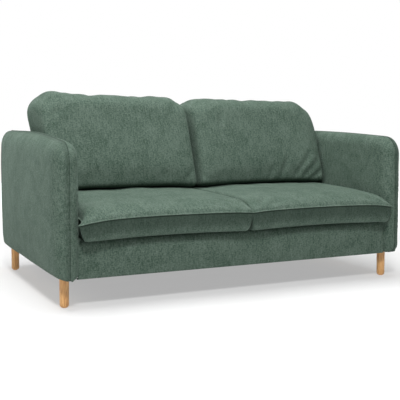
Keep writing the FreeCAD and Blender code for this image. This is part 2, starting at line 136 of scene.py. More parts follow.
@dataclass(frozen=True)
class Value:
    """An output socket that reads like a number in Python expressions."""

    tree: bpy.types.NodeTree
    socket: bpy.types.NodeSocket

    def _math(self, operation: str, first: Any, second: Any, clamp: bool = False) -> "Value":
        """Add one Math node.

        Args:
            operation: Blender's name of the operation.
            first: a number or a Value.
            second: a number or a Value.
            clamp: whether the result is held between 0 and 1.

        Returns:
            The node's result.
        """
        node = self.tree.nodes.new("ShaderNodeMath")
        node.operation = operation
        node.use_clamp = clamp
        for place, value in enumerate((first, second)):
            if isinstance(value, Value):
                self.tree.links.new(value.socket, node.inputs[place])
            else:
                node.inputs[place].default_value = value
        return Value(self.tree, node.outputs[0])

    def __add__(self, other: Any) -> "Value":
        """Sum."""
        return self._math("ADD", self, other)

    __radd__ = __add__

    def __sub__(self, other: Any) -> "Value":
        """Difference."""
        return self._math("SUBTRACT", self, other)

    def __rsub__(self, other: Any) -> "Value":
        """Difference with the number first."""
        return self._math("SUBTRACT", other, self)

    def __mul__(self, other: Any) -> "Value":
        """Product."""
        return self._math("MULTIPLY", self, other)

    __rmul__ = __mul__

    def held(self) -> "Value":
        """The same value held between 0 and 1."""
        return self._math("ADD", self, 0.0, clamp=True)


class Finish:
    """A material being built, whose shader's constants sit on its own sockets."""

    def __init__(self, name: str) -> None:
        """Start an empty material.

        Args:
            name: the material's name.
        """
        self.material = bpy.data.materials.new(name)
        self.material.use_nodes = True
        self.tree = self.material.node_tree
        self.tree.nodes.clear()
        self.shader = self.tree.nodes.new("ShaderNodeBsdfPrincipled")
        end = self.tree.nodes.new("ShaderNodeOutputMaterial")
        self.tree.links.new(self.shader.outputs[0], end.inputs[0])

    def node(self, kind: str, settings: dict[str, Any] | None = None,
             inputs: dict[Any, Any] | None = None, output: Any = 0) -> Value:
        """Add a node.

        Args:
            kind: the node's type.
            settings: attributes set first; stops gives a ramp's places and colours.
            inputs: values or links of its sockets by name or number.
            output: the name or number of the socket that is returned.

        Returns:
            The output as a Value.
        """
        made = self.tree.nodes.new(kind)
        for key, value in (settings or {}).items():
            if key == "stops":
                self._stops(made, value)
            else:
                setattr(made, key, value)
        for key, value in (inputs or {}).items():
            self.join(made.inputs[key], value)
        return Value(self.tree, made.outputs[output])

    @staticmethod
    def _stops(ramp: bpy.types.Node, stops: list[tuple[float, Colour]]) -> None:
        """Give a ramp its stops.

        Args:
            ramp: the ramp node.
            stops: the place and colour of each stop, at least two.
        """
        elements = ramp.color_ramp.elements
        while len(elements) < len(stops):
            elements.new(0.5)
        for element, (place, colour) in zip(elements, stops):
            element.position = place
            element.color = (*colour, 1.0)

    def join(self, socket: bpy.types.NodeSocket, value: Any) -> None:
        """Link a Value to a socket, or set the socket to a plain value.

        Args:
            socket: the input.
            value: a Value, number, colour or vector.
        """
        if isinstance(value, Value):
            self.tree.links.new(value.socket, socket)
        else:
            socket.default_value = value

    def give(self, **values: Any) -> None:
        """Set or link the shader's sockets; an underscore in a name stands for a space."""
        for key, value in values.items():
            if isinstance(value, tuple) and len(value) == 3:
                value = (*value, 1.0)
            self.join(self.shader.inputs[key.replace("_", " ")], value)

    def noise(self, source: str, sizes: Triple, detail: float = 2.0,
              roughness: float = 0.5, twist: float = 0.0) -> Value:
        """Soft noise around one half.

        Args:
            source: Object or UV.
            sizes: the pattern's size along each axis, in metres.
            detail: how many finer layers it has.
            roughness: how strong the finer layers are.
            twist: how far it is pulled about.

        Returns:
            The noise, mostly from 0.2 to 0.8.
        """
        point = self.node("ShaderNodeTexCoord", output=source)
        scaled = self.node("ShaderNodeMapping", inputs={
            "Vector": point, "Scale": tuple(1 / size for size in sizes)})
        return self.node("ShaderNodeTexNoise", inputs={
            "Vector": scaled, "Scale": 1.0, "Detail": detail,
            "Roughness": roughness, "Distortion": twist})

    def blend(self, factor: Value, low: Any, high: Any) -> Value:
        """Mix two colours.

        Args:
            factor: 0 for the first, 1 for the second.
            low: a colour or a Value.
            high: a colour or a Value.

        Returns:
            The mixed colour.
        """
        low, high = (c if isinstance(c, Value) else (*c, 1.0) for c in (low, high))
        return self.node("ShaderNodeMix", {"data_type": "RGBA", "clamp_factor": True},
                         {0: factor, 6: low, 7: high}, 2)

    def bump(self, height: Value, distance: float, strength: float = 1.0) -> Value:
        """Turn a height into a normal.

        Args:
            height: the height from 0 to 1.
            distance: what a height of 1 stands for, in metres.
            strength: how much of it is used.

        Returns:
            The normal.
        """
        return self.node("ShaderNodeBump", inputs={
            "Height": height, "Distance": distance, "Strength": strength})


@dataclass(frozen=True)
class Chenille:
    """Thick woven pile cloth: short slubs both ways and a soft nap, with painted shade in the
    sunken lines beside sewn lips and lighter lips.
    """

    name: str = "green_chenille"
    deep: Colour = (0.032, 0.060, 0.042)
    pale: Colour = (0.119, 0.162, 0.132)
    # painted shade: the colour of the sunken line beside a sewn lip, where the lip shades the
    # cloth
    groove: Colour = (0.016, 0.027, 0.020)
    slub: float = 0.0120
    thread: float = 0.0028
    ply: float = 0.0060
    nap: float = 0.085
    brush: Pair = (0.0070, 0.045)
    weave_share: float = 2.9
    ply_share: float = 0.9
    brush_share: float = 0.9
    nap_share: float = 0.85
    # how much lighter the sewn lip is made, towards the pale colour
    worn_lip: float = 0.45
    relief: float = 0.0011
    sheen: float = 0.12
    sheen_tint: Colour = (0.62, 0.82, 0.70)

    def material(self) -> bpy.types.Material:
        """Build it on the piece's own map in metres.

        Returns:
            The material.
        """
        made = Finish(self.name)
        weft, warp = (made.noise("UV", (*sizes, 1.0), 2.0, 0.6, 0.4) for sizes in (
            (self.slub, self.thread), (self.thread, self.slub)))
        ply = made.noise("UV", (self.ply, self.ply, 1.0), 1.0)
        nap = made.noise("UV", (self.nap, self.nap, 1.0), 3.0, 0.6, 0.8)
        brush = made.noise("UV", (*self.brush, 1.0), 2.0, 0.55, 0.6)
        weave = weft * 0.5 + warp * 0.5
        shade = ((weave - 0.5) * self.weave_share + (ply - 0.5) * self.ply_share
                 + (brush - 0.5) * self.brush_share + (nap - 0.5) * self.nap_share + 0.5)
        cloth = made.blend(shade.held(), self.deep, self.pale)
        # seam marks painted shade beside a sewn lip; lip marks the lip itself, which is made
        # lighter
        seam, lip = (made.node("ShaderNodeAttribute", {"attribute_name": name}, output="Fac")
                     for name in ("seam", "lip"))
        # the sewn lip is made lighter
        lip_lightened_cloth = made.blend(lip * self.worn_lip, cloth, self.pale)
        made.give(
            # painted shade: the cloth turns to the dark shade colour along the seam marks
            Base_Color=made.blend(seam, lip_lightened_cloth, self.groove),
            Roughness=0.94 - weave * 0.12,
            Specular_IOR_Level=0.12,
            Sheen_Weight=self.sheen,
            Sheen_Roughness=0.42,
            Sheen_Tint=self.sheen_tint,
            Normal=made.bump(weave * 0.75 + ply * 0.25, self.relief, 0.75))
        return made.material


@dataclass(frozen=True)
class Wood:
    """Planed or turned wood: long grain along one axis, growth bands and fine pores."""

    name: str
    pale: Colour
    warm: Colour
    deep: Colour
    along: int = 2
    band: float = 0.011
    stretch: float = 14.0
    pore: float = 1 / 7
    pore_stretch: float = 2.5
    roughness: float = 0.46
    coat: float = 0.0

    def material(self) -> bpy.types.Material:
        """Build it on object coordinates.

        Returns:
            The material.
        """
        made = Finish(self.name)
        wide = [self.band] * 3
        wide[self.along] *= self.stretch
        fine = [size * self.pore for size in wide]
        fine[self.along] *= self.pore_stretch
        bands = made.noise("Object", tuple(wide), 3.0, 0.5, 1.4)
        pores = made.noise("Object", tuple(fine), 2.0, 0.6)
        figure = made.node("ShaderNodeValToRGB", {"stops": [
            (0.32, self.deep), (0.46, self.warm), (0.62, self.pale)]},
            {"Fac": (bands + (pores - 0.5) * 0.35).held()})
        made.give(
            Base_Color=figure, Roughness=self.roughness + (pores - 0.5) * 0.2,
            Coat_Weight=self.coat, Coat_Roughness=0.35,
            Normal=made.bump(pores * 0.6 + bands * 0.4, 0.0004, 0.5))
        return made.material


@dataclass(frozen=True)
class Plain:
    """A dull material with two shades of mottling, such as board, felt, webbing or foam."""

    name: str
    low: Colour
    high: Colour
    grain: Triple
    roughness: float = 0.85
    metallic: float = 0.0
    relief: float = 0.0004

    def material(self) -> bpy.types.Material:
        """Build it on object coordinates.

        Returns:
            The material.
        """
        made = Finish(self.name)
        mottle = made.noise("Object", self.grain, 3.0, 0.6)
        made.give(
            Base_Color=made.blend(((mottle - 0.5) * 2.4 + 0.5).held(), self.low, self.high),
            Roughness=(mottle - 0.5) * 0.25 + self.roughness,
            Metallic=self.metallic,
            Normal=made.bump(mottle, self.relief, 0.6))
        return made.material


FINISHES: dict[str, Any] = {
    "upholstery": Chenille(),
    "leg_wood": Wood("oiled_beech", (0.745, 0.430, 0.170), (0.620, 0.325, 0.118),
                     (0.450, 0.200, 0.065), band=0.0065, stretch=11.0, coat=0.12),
    "timber": Wood("sawn_pine", (0.640, 0.470, 0.270), (0.560, 0.375, 0.190),
                   (0.400, 0.230, 0.100), along=0, roughness=0.7),
    "board": Plain("pressed_board", (0.20, 0.125, 0.065), (0.36, 0.245, 0.135),
                   (0.006, 0.006, 0.002)),
    "steel": Plain("drawn_steel", (0.42, 0.42, 0.43), (0.62, 0.62, 0.62),
                   (0.004, 0.004, 0.02), 0.34, 1.0, 0.0001),
    "foam": Plain("cut_foam", (0.62, 0.58, 0.42), (0.74, 0.70, 0.54), (0.003, 0.003, 0.003)),
    "fibre": Plain("fibre_fill", (0.74, 0.74, 0.72), (0.86, 0.86, 0.84), (0.01, 0.004, 0.004)),
    "felt": Plain("grey_felt", (0.16, 0.16, 0.17), (0.30, 0.30, 0.31), (0.009, 0.004, 0.004)),
    "webbing": Plain("elastic_webbing", (0.035, 0.035, 0.040), (0.11, 0.105, 0.10),
                     (0.05, 0.002, 0.002)),
    "dust_cloth": Plain("spunbond_cloth", (0.016, 0.016, 0.018), (0.036, 0.036, 0.040),
                        (0.004, 0.004, 0.002), 0.9),
}


# ---------------------------------------------------------------- surfaces


def rise(distance: Array, run: Any, power: float) -> Array:
    """Superellipse quarter: 0 at the edge, 1 from one run inwards.

    The height is (1 - (1 - t) ** power) ** (1 / power), with t the distance over the run.

    Args:
        distance: distance from the edge, in metres.
        run: how far in the rounding reaches, in metres.
        power: 2 is a circle, more is squarer.

    Returns:
        The height from 0 to 1.
    """
    t = np.clip(distance / run, 0.0, 1.0)
    return (1.0 - (1.0 - t) ** power) ** (1.0 / power)


def smooth(value: Array, low: float, high: float) -> Array:
    """Smoothstep t * t * (3 - 2 * t), with t from 0 at low to 1 at high.

    Args:
        value: where it is read.
        low: where it starts to rise.
        high: where it is 1.

    Returns:
        Numbers from 0 to 1.
    """
    t = np.clip((value - low) / (high - low), 0.0, 1.0)
    return t * t * (3.0 - 2.0 * t)


def bell(distance: Array, width: float) -> Array:
    """Gaussian exp(-(distance / width) ** 2).

    Args:
        distance: distance from its middle, in metres.
        width: where it has fallen to 0.37, in metres.

    Returns:
        Numbers from 0 to 1.
    """
    return np.exp(-((distance / width) ** 2))


def spaced(length: float, run: float, rows: int, step: float) -> Array:
    """Grid fractions that are close together near both ends.

    Rows stand at run * (1 - cos(angle)) over each end's run, and evenly between.

    Args:
        length: the side's length, in metres.
        run: how far the close rows reach, in metres.
        rows: how many rows are in each run.
        step: the distance between the even rows, in metres.

    Returns:
        Rising numbers from 0 to 1.
    """
    near = run * (1.0 - np.cos(np.linspace(0.0, math.pi / 2, rows + 1)))
    count = max(2, round((length - 2 * run) / step))
    middle = np.linspace(run, length - run, count + 1)
    return np.concatenate([near[:-1], middle, (length - near[:-1])[::-1]]) / length


def waves(place: Array, seed: int, lengths: tuple[float, ...]) -> Array:
    """Uneven ripple: the mean of sines of given wavelengths with seeded phases.

    Args:
        place: distance along the ripple, in metres.
        seed: picks the phases.
        lengths: the wavelengths, in metres.

    Returns:
        Numbers from about -1 to 1.
    """
    phases = np.random.default_rng(seed).uniform(0, 2 * math.pi, len(lengths))
    total = sum(np.sin(2 * math.pi * place / w + p) for w, p in zip(lengths, phases))
    return total / len(lengths)


def folds(x: Array, y: Array, lines: list[Crease]) -> Array:
    """Soft creases along listed lines.

    Each line is (x0, y0, x1, y1, depth, width). Across it the cloth sinks as a Gaussian and
    rises a little on both sides; along it the depth fades out to both ends.

    Args:
        x: first coordinate of the points on the panel.
        y: second coordinate of the points.
        lines: the creases, in metres.

    Returns:
        The offset out of the panel, in metres.
    """
    total = np.zeros_like(x)
    for x0, y0, x1, y1, depth, width in lines:
        span = (x1 - x0) ** 2 + (y1 - y0) ** 2
        along = ((x - x0) * (x1 - x0) + (y - y0) * (y1 - y0)) / span
        t = np.clip(along, 0.0, 1.0)
        away = np.hypot(x - x0 - t * (x1 - x0), y - y0 - t * (y1 - y0)) / width
        fade = np.clip(1.0 - (2.0 * t - 1.0) ** 4, 0.0, 1.0)
        total += depth * fade * (0.55 * bell(away - 1.7, 1.0) - bell(away, 1.0))
    return total


@dataclass
class Outline:
    """A four-sided panel outline with rounded corners and bowed sides.

    Corners run counter-clockwise from the low left one. A side's bow is
    depth * sin(pi * t ** skew) outwards, with t from 0 to 1 along its straight part.
    """

    corners: tuple[Pair, ...]
    radii: Ring
    bows: tuple[Pair, ...] = (STRAIGHT,) * 4
    dense: int = 64

    def _arc(self, i: int) -> Array:
        """Points round one corner.

        Args:
            i: the corner's number.

        Returns:
            Points from the side before to the side after.
        """
        points = np.array(self.corners, float)
        corner = points[i]
        back = points[i - 1] - corner
        ahead = points[(i + 1) % 4] - corner
        back /= np.linalg.norm(back)
        ahead /= np.linalg.norm(ahead)
        half = 0.5 * math.acos(float(back @ ahead))
        reach = self.radii[i] / math.tan(half)
        between = (back + ahead) / np.linalg.norm(back + ahead)
        middle = corner + between * self.radii[i] / math.sin(half)
        first, last = corner + back * reach - middle, corner + ahead * reach - middle
        turn = math.pi - 2 * half
        t = np.linspace(0, 1, 33)[:, None]
        return middle + (np.sin((1 - t) * turn) * first + np.sin(t * turn) * last) / math.sin(turn)

    def side(self, i: int) -> Array:
        """Dense points from the middle of corner i's arc to the middle of the next one's.

        Args:
            i: the side's number, which is its first corner's.

        Returns:
            The points, in a row.
        """
        start, end = self._arc(i)[16:], self._arc((i + 1) % 4)[:17]
        t = np.linspace(0, 1, self.dense)[:, None]
        line = start[-1] * (1 - t) + end[0] * t
        run = end[0] - start[-1]
        outward = np.array([run[1], -run[0]]) / np.linalg.norm(run)
        depth, skew = self.bows[i]
        line = line + outward * depth * np.sin(math.pi * t ** skew)
        return np.vstack([start[:-1], line, end[1:]])

    def curve(self, i: int, fractions: Array) -> Array:
        """One side at fractions of its length.

        Args:
            i: the side's number.
            fractions: numbers from 0 to 1.

        Returns:
            The points, one for each fraction.
        """
        dense = self.side(i)
        run = np.concatenate([[0], np.cumsum(np.linalg.norm(np.diff(dense, axis=0), axis=1))])
        return np.stack([np.interp(fractions * run[-1], run, dense[:, k]) for k in (0, 1)], 1)

    def grid(self, across: Array, up: Array) -> Array:
        """Coons patch: the two blends of opposite sides added, less the blend of the corners.

        Args:
            across: fractions along the low and high sides.
            up: fractions along the left and right sides.

        Returns:
            Points of shape (up, across, 2).
        """
        low, right = self.curve(0, across), self.curve(1, up)
        high, left = self.curve(2, 1 - across), self.curve(3, 1 - up)
        u, v = across[None, :, None], up[:, None, None]
        sides = (1 - v) * low[None] + v * high[None] + (1 - u) * left[:, None] + u * right[:, None]
        corner = ((1 - u) * (1 - v) * low[0] + u * (1 - v) * low[-1]
                  + u * v * high[-1] + (1 - u) * v * high[0])
        return sides - corner

    def away(self, points: Array, sides: tuple[int, ...] = (0, 1, 2, 3)) -> Array:
        """Distance from grid points to the nearest of some sides.

        Each side is a chain of short straight pieces; the distance to a piece is measured to
        the point on it whose place along it, held between its ends, is nearest.

        Args:
            points: a grid of shape (rows, columns, 2).
            sides: the sides' numbers.

        Returns:
            The distances, of shape (rows, columns).
        """
        start = np.vstack([self.side(i)[:-1] for i in sides])
        step = np.vstack([np.diff(self.side(i), axis=0) for i in sides])
        apart = points.reshape(-1, 1, 2) - start[None]
        t = np.clip((apart * step).sum(-1) / (step ** 2).sum(-1), 0.0, 1.0)
        gap = apart - t[..., None] * step
        return np.sqrt((gap ** 2).sum(-1).min(1)).reshape(points.shape[:2])


def rim_of(rows: int, columns: int) -> Array:
    """Numbers of a grid's border vertices, once round, counter-clockwise from the first.

    Args:
        rows: the number of rows.
        columns: the number of columns.

    Returns:
        Vertex numbers.
    """
    grid = np.arange(rows * columns).reshape(rows, columns)
    return np.concatenate([grid[0, :-1], grid[:-1, -1], grid[-1, :0:-1], grid[:0:-1, 0]])


def grid_faces(rows: int, columns: int, start: int = 0, flip: bool = False) -> Array:
    """Quads of a grid of vertices.

    Args:
        rows: the number of rows.
        columns: the number of columns.
        start: the number of the first vertex.
        flip: whether the faces turn the other way.

    Returns:
        Vertex numbers, four a face.
    """
    grid = start + np.arange(rows * columns).reshape(rows, columns)
    quads = np.stack([grid[:-1, :-1], grid[:-1, 1:], grid[1:, 1:], grid[1:, :-1]], -1)
    quads = quads.reshape(-1, 4)
    return quads[:, ::-1] if flip else quads


def cloth_map(points: Array) -> Array:
    """Map in metres: length along the rows and along the columns, from the middle ones.

    Args:
        points: a grid of shape (rows, columns, 3).

    Returns:
        The map, of shape (rows, columns, 2).
    """
    along = np.linalg.norm(np.diff(points, axis=1), axis=2)
    up = np.linalg.norm(np.diff(points, axis=0), axis=2)
    u = np.concatenate([np.zeros((len(points), 1)), np.cumsum(along, 1)], 1)
    v = np.concatenate([np.zeros((1, points.shape[1])), np.cumsum(up, 0)], 0)
    u -= u[:, [u.shape[1] // 2]]
    v -= v[[v.shape[0] // 2], :]
    return np.stack([u, v], -1)


@dataclass
class Piece:
    """A finished mesh, the body it goes on, its finish's slot and the frame nodes it replaces."""

    name: str
    body: str
    slot: str
    replaced: tuple[str, ...]
    fill: float | None = None
    smooth_levels: int = 1
    merge: float = 2e-5

    def make(self, points: Array, faces: Array, maps: Array,
             marks: dict[str, Array] | None = None) -> bpy.types.Object:
        """Put arrays into a mesh, close it, dress it, put it on its body and hide the nodes it
        replaces.

        Args:
            points: vertices, in metres.
            faces: quads.
            maps: a map point for each vertex.
            marks: seam, painted shade beside a sewn lip, and lip, which makes the lip lighter,
                from 0 to 1 for each vertex; left out, they are 0.

        Returns:
            The object.
        """
        mesh = bpy.data.meshes.new(self.name)
        mesh.from_pydata(points.reshape(-1, 3).tolist(), [], faces.tolist())
        layer = mesh.uv_layers.new(name="cloth")
        corner = np.zeros(len(mesh.loops), np.int32)
        mesh.loops.foreach_get("vertex_index", corner)
        layer.data.foreach_set("uv", maps.reshape(-1, 2)[corner].astype(np.float32).ravel())
        for name in ("seam", "lip"):
            values = marks[name] if marks else np.zeros(len(mesh.vertices))
            mark = mesh.attributes.new(name, "FLOAT", "POINT")
            mark.data.foreach_set("value", values.astype(np.float32))
        turn_outwards(mesh, self.merge)
        mesh.polygons.foreach_set("use_smooth", np.ones(len(mesh.polygons), bool))
        thing = placed(self.name, mesh)
        mesh.materials.append(bpy.data.materials[FINISHES[self.slot].name])
        if self.smooth_levels:
            softer = thing.modifiers.new("smooth", "SUBSURF")
            softer.levels = softer.render_levels = self.smooth_levels
        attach(thing, self.body)
        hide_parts(*self.replaced)
        LOG.info("%s: %d faces on %s", self.name, len(mesh.polygons), self.body)
        return thing

    def make_cloth(self, grid: Array) -> bpy.types.Object:
        """Make an open grid of points.

        Args:
            grid: points of shape (rows, columns, 3).

        Returns:
            The object.
        """
        return self.make(grid, grid_faces(*grid.shape[:2]), cloth_map(grid))


@dataclass
class Pad:
    """Two panels sewn together along one outline.

    Both panels are grids of the same size with the same border points. The lip between
    them is a row of rings, each (how far outwards, how far towards the first panel, seam
    mark, lip mark), so the sewn edge stands proud with a sunken line beside it. A seam mark
    is painted shade in that line, and a lip mark makes the lip lighter. The groove field is
    the second panel's seam mark, painted shade along its border.
    """

    first: Array
    second: Array
    lip: tuple[Ring, ...]
    groove: Array
    towards: Array

    def mesh(self) -> tuple[Array, Array, Array, dict[str, Array]]:
        """Join the panels and the lip.

        Returns:
            Vertices, quads, map and marks.
        """
        rows, columns = self.first.shape[:2]
        rim = rim_of(rows, columns)
        edge = self.first.reshape(-1, 3)[rim]
        run = np.roll(edge, -1, 0) - np.roll(edge, 1, 0)
        out = np.cross(run, self.towards)
        out /= np.linalg.norm(out, axis=1)[:, None] + 1e-12
        maps = [cloth_map(panel).reshape(-1, 2) for panel in (self.first, self.second)]
        layers = [(self.first.reshape(-1, 3), maps[0], 0.0, 0.0)]
        # each ring's seam mark is painted shade beside the lip; its lip mark makes the lip lighter
        layers += [(edge + out * away + self.towards * up, maps[0][rim], seam, lip)
                   for away, up, seam, lip in self.lip]
        # the second panel's border gets painted shade beside the lip
        layers.append((self.second.reshape(-1, 3), maps[1], self.groove.ravel(), 0.0))
        starts = np.cumsum([0] + [len(layer[0]) for layer in layers])
        loops = [rim] + [start + np.arange(len(rim)) for start in starts[1:-2]]
        loops.append(rim + starts[-2])
        faces = [grid_faces(rows, columns), grid_faces(rows, columns, starts[-2], True)]
        for low, high in zip(loops[:-1], loops[1:]):
            faces.append(np.stack([low, high, np.roll(high, -1), np.roll(low, -1)], 1))
        marks = {name: np.concatenate([np.broadcast_to(layer[k], len(layer[0]))
                                       for layer in layers])
                 for k, name in ((2, "seam"), (3, "lip"))}
        return (np.vstack([layer[0] for layer in layers]), np.vstack(faces),
                np.vstack([layer[1] for layer in layers]), marks)


@dataclass(frozen=True)
class Plumping:
    """Cloth simulation of two sewn panels blown up from inside."""

    pressure: float = 4.0
    frames: int = 20
    cap: float = 0.016
    gather: float = 0.05
    bending: float = 1.0

    def run(self, first: Array, second: Array) -> tuple[Array, Array]:
        """Move two panels as blown-up cloth with a gathered seam.

        A move of length d becomes cap * tanh(d / cap) long.

        Args:
            first: the first panel's grid.
            second: the second panel's grid, sharing the border.

        Returns:
            How far each point moved, for both panels.
        """
        rows, columns = first.shape[:2]
        rim = rim_of(rows, columns)
        size = rows * columns
        number = np.arange(size) + size
        number[rim] = rim
        points = np.vstack([first.reshape(-1, 3), second.reshape(-1, 3)])
        faces = np.vstack([grid_faces(rows, columns), number[grid_faces(rows, columns, 0, True)]])
        used, compact = np.unique(faces, return_inverse=True)
        mesh = bpy.data.meshes.new("plumping")
        mesh.from_pydata(points[used].tolist(), [], compact.reshape(-1, 4).tolist())
        thing = placed("plumping", mesh)
        turn_outwards(mesh)
        group = thing.vertex_groups.new(name="gathered")
        group.add([int(i) for i in np.searchsorted(used, rim)], 1.0, "REPLACE")
        cloth = thing.modifiers.new("cloth", "CLOTH")
        for key, value in (("use_pressure", True), ("uniform_pressure_force", self.pressure),
                           ("vertex_group_shrink", "gathered"), ("shrink_max", self.gather),
                           ("bending_stiffness", self.bending)):
            setattr(cloth.settings, key, value)
        cloth.settings.effector_weights.gravity = 0.0
        cloth.point_cache.frame_end = self.frames
        scene = bpy.context.scene
        for frame in range(1, self.frames + 1):
            scene.frame_set(frame)
        shape = thing.evaluated_get(bpy.context.evaluated_depsgraph_get())
        flat = np.zeros(len(used) * 3, np.float32)
        shape.data.vertices.foreach_get("co", flat)
        moved = np.zeros((2 * size, 3))
        moved[used] = flat.reshape(-1, 3) - points[used]
        moved[size + rim] = moved[rim]
        moved -= moved[used].mean(0)
        length = np.linalg.norm(moved, axis=1)[:, None] + 1e-12
        moved *= self.cap * np.tanh(length / self.cap) / length
        scene.frame_set(1)
        bpy.data.objects.remove(thing)
        bpy.data.meshes.remove(mesh)
        LOG.info("plumped %d points, largest move %.1f mm", len(used), length.max() * 1000)
        return moved[:size].reshape(first.shape), moved[size:].reshape(first.shape)


# ---------------------------------------------------------------- the sofa


@dataclass
class Arm:
    """An upholstered arm: two crowned panels sewn round one upright outline.

    A pair of numbers is for the left and the right arm.
    """

    side: Side
    front_heights: Pair = (0.6280, 0.6400)
    rear_height: float = 0.6680
    top_bows: Pair = (0.0140, 0.0060)
    top_skew: float = 1.25
    corner_front: float = 0.082
    corner_rear: float = 0.070
    foot_front: Pair = (0.014, 0.040)
    foot_rear: float = 0.045
    outer_crown: float = 0.0440
    outer_belly: float = 0.0215
    outer_run: float = 0.080
    inner_crown: float = 0.0385
    inner_belly: float = 0.0120
    inner_run: float = 0.056
    foot_run: float = 0.030
    pucker_out: float = 0.0050
    pucker_shares: Pair = (1.0, 0.25)
    pucker_ahead: float = 0.0095
    pucker_reach: float = 0.042
    seam_half: float = 0.0026
    step: float = 0.0068
    # rings of the sewn lip: outwards, towards the first panel, painted shade in the sunken line
    # beside it, and how much lighter the lip is
    lip: tuple[Ring, ...] = (
        (0.0020, -0.0003, 0.0, 0.5), (0.0030, -0.0012, 0.0, 0.8),
        (0.0028, -0.0024, 0.1, 0.4), (-0.0012, -0.0036, 0.8, 0.0))

    def outline(self, low: Vector, high: Vector) -> Outline:
        """The sewn outline, in depth and height.

        Args:
            low: the cover's low corner.
            high: the cover's high corner.

        Returns:
            The outline.
        """
        pick = self.side.pick
        return Outline(
            ((low.y, low.z), (high.y, low.z), (high.y, self.rear_height),
             (low.y, pick(self.front_heights))),
            (pick(self.foot_front), self.foot_rear, self.corner_rear, self.corner_front),
            (STRAIGHT, STRAIGHT, (pick(self.top_bows), self.top_skew), STRAIGHT))

    def panel(self, outline: Outline, flat: Array, crown: float, belly: float, run: float,
              seed: int) -> Array:
        """Height of a panel over the sewn plane.

        A crown rises round the front, top and rear within one run; a belly is highest in
        the middle; both are multiplied by a tight round along the foot. Puckers beside the
        front seam, a calm ripple and a fine one along the top are added.

        Args:
            outline: the sewn outline.
            flat: the grid in depth and height.
            crown: height of the rounded border.
            belly: what the middle adds.
            run: width of the rounded border.
            seed: picks the ripples.

        Returns:
            The heights.
        """
        y, z = flat[..., 0], flat[..., 1]
        sides = outline.away(flat, (1, 2, 3))
        low, high = z.min(), z.max()
        t, s = (y - y.min()) / np.ptp(y), (z - low) / (high - low)
        middle = (np.clip(1 - np.abs(2 * t - 1) ** 2.6, 0, 1)
                  * np.clip(1 - np.abs(1.9 * s - 1) ** 2.2, 0, 1))
        height = crown * rise(sides, run, 2.15) + belly * middle
        height = height * rise(z - low + 1e-4, self.foot_run, 3.2)
        calm = (0.0012 * waves(y + 0.4 * z, seed + 1, (0.31, 0.47))
                + 0.0008 * waves(z - 0.3 * y, seed + 2, (0.19, 0.27)))
        top = 0.0011 * waves(y, seed + 3, (0.041, 0.057, 0.09)) * bell(high - z, 0.05)
        puckers = self.pucker_out * self.puckers(flat, seed)
        return height + puckers + (calm + top) * rise(sides, 0.05, 2)

    def puckers(self, flat: Array, seed: int) -> Array:
        """Slanting gathers beside the front seam.

        The absolute value of a ripple gives round ridges with sharp valleys; it is held to
        the middle height of the arm and fades out a few centimetres from the seam.

        Args:
            flat: the grid in depth and height.
            seed: picks the ripple.

        Returns:
            Numbers from about -0.4 to 0.6.
        """
        z, front = flat[..., 1], flat[..., 0] - flat[..., 0].min()
        ridges = np.abs(waves(z + 0.55 * front, seed, (0.041, 0.055))) - 0.38
        height = smooth(z, 0.12, 0.24) * (1 - smooth(z, 0.48, 0.60))
        return (self.side.pick(self.pucker_shares) * ridges * height
                * bell(front, self.pucker_reach) * rise(front, 0.010, 2))

    def build(self) -> None:
        """Make the arm cover and its sewn lip; the outer puckers also swell forwards."""
        tag, sign = self.side.tag, self.side.value
        low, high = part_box(f"arm_outer_cover_{tag}")
        plane = self.side.pick((high.x, low.x))
        outline = self.outline(low, high)
        flat = outline.grid(spaced(high.y - low.y, 0.05, 9, self.step * 1.6),
                            spaced(high.z - low.z, 0.04, 8, self.step))
        panels = []
        for turned, crown, belly, run, ahead, seed in (
                (1, self.outer_crown, self.outer_belly, self.outer_run, self.pucker_ahead, 11),
                (-1, self.inner_crown, self.inner_belly, self.inner_run, 0.0, 23)):
            out = self.panel(outline, flat, crown, belly, run, seed + sign) + self.seam_half
            y = flat[..., 0] - ahead * self.puckers(flat, seed + sign)
            panels.append(np.stack([plane + sign * turned * out, y, flat[..., 1]], -1))
        # painted shade along the outer panel's border beside the lip
        pad = Pad(panels[1], panels[0], self.lip, 0.35 * bell(outline.away(flat), 0.004),
                  np.array([-sign, 0.0, 0.0]))
        nodes = tuple(f"arm_{part}_{tag}" for part in (
            "outer_cover", "outer_padding", "inner_cover", "inner_padding"))
        Piece(f"arm_cover_{tag}", "frame", "upholstery", nodes, 0.9).make(*pad.mesh())


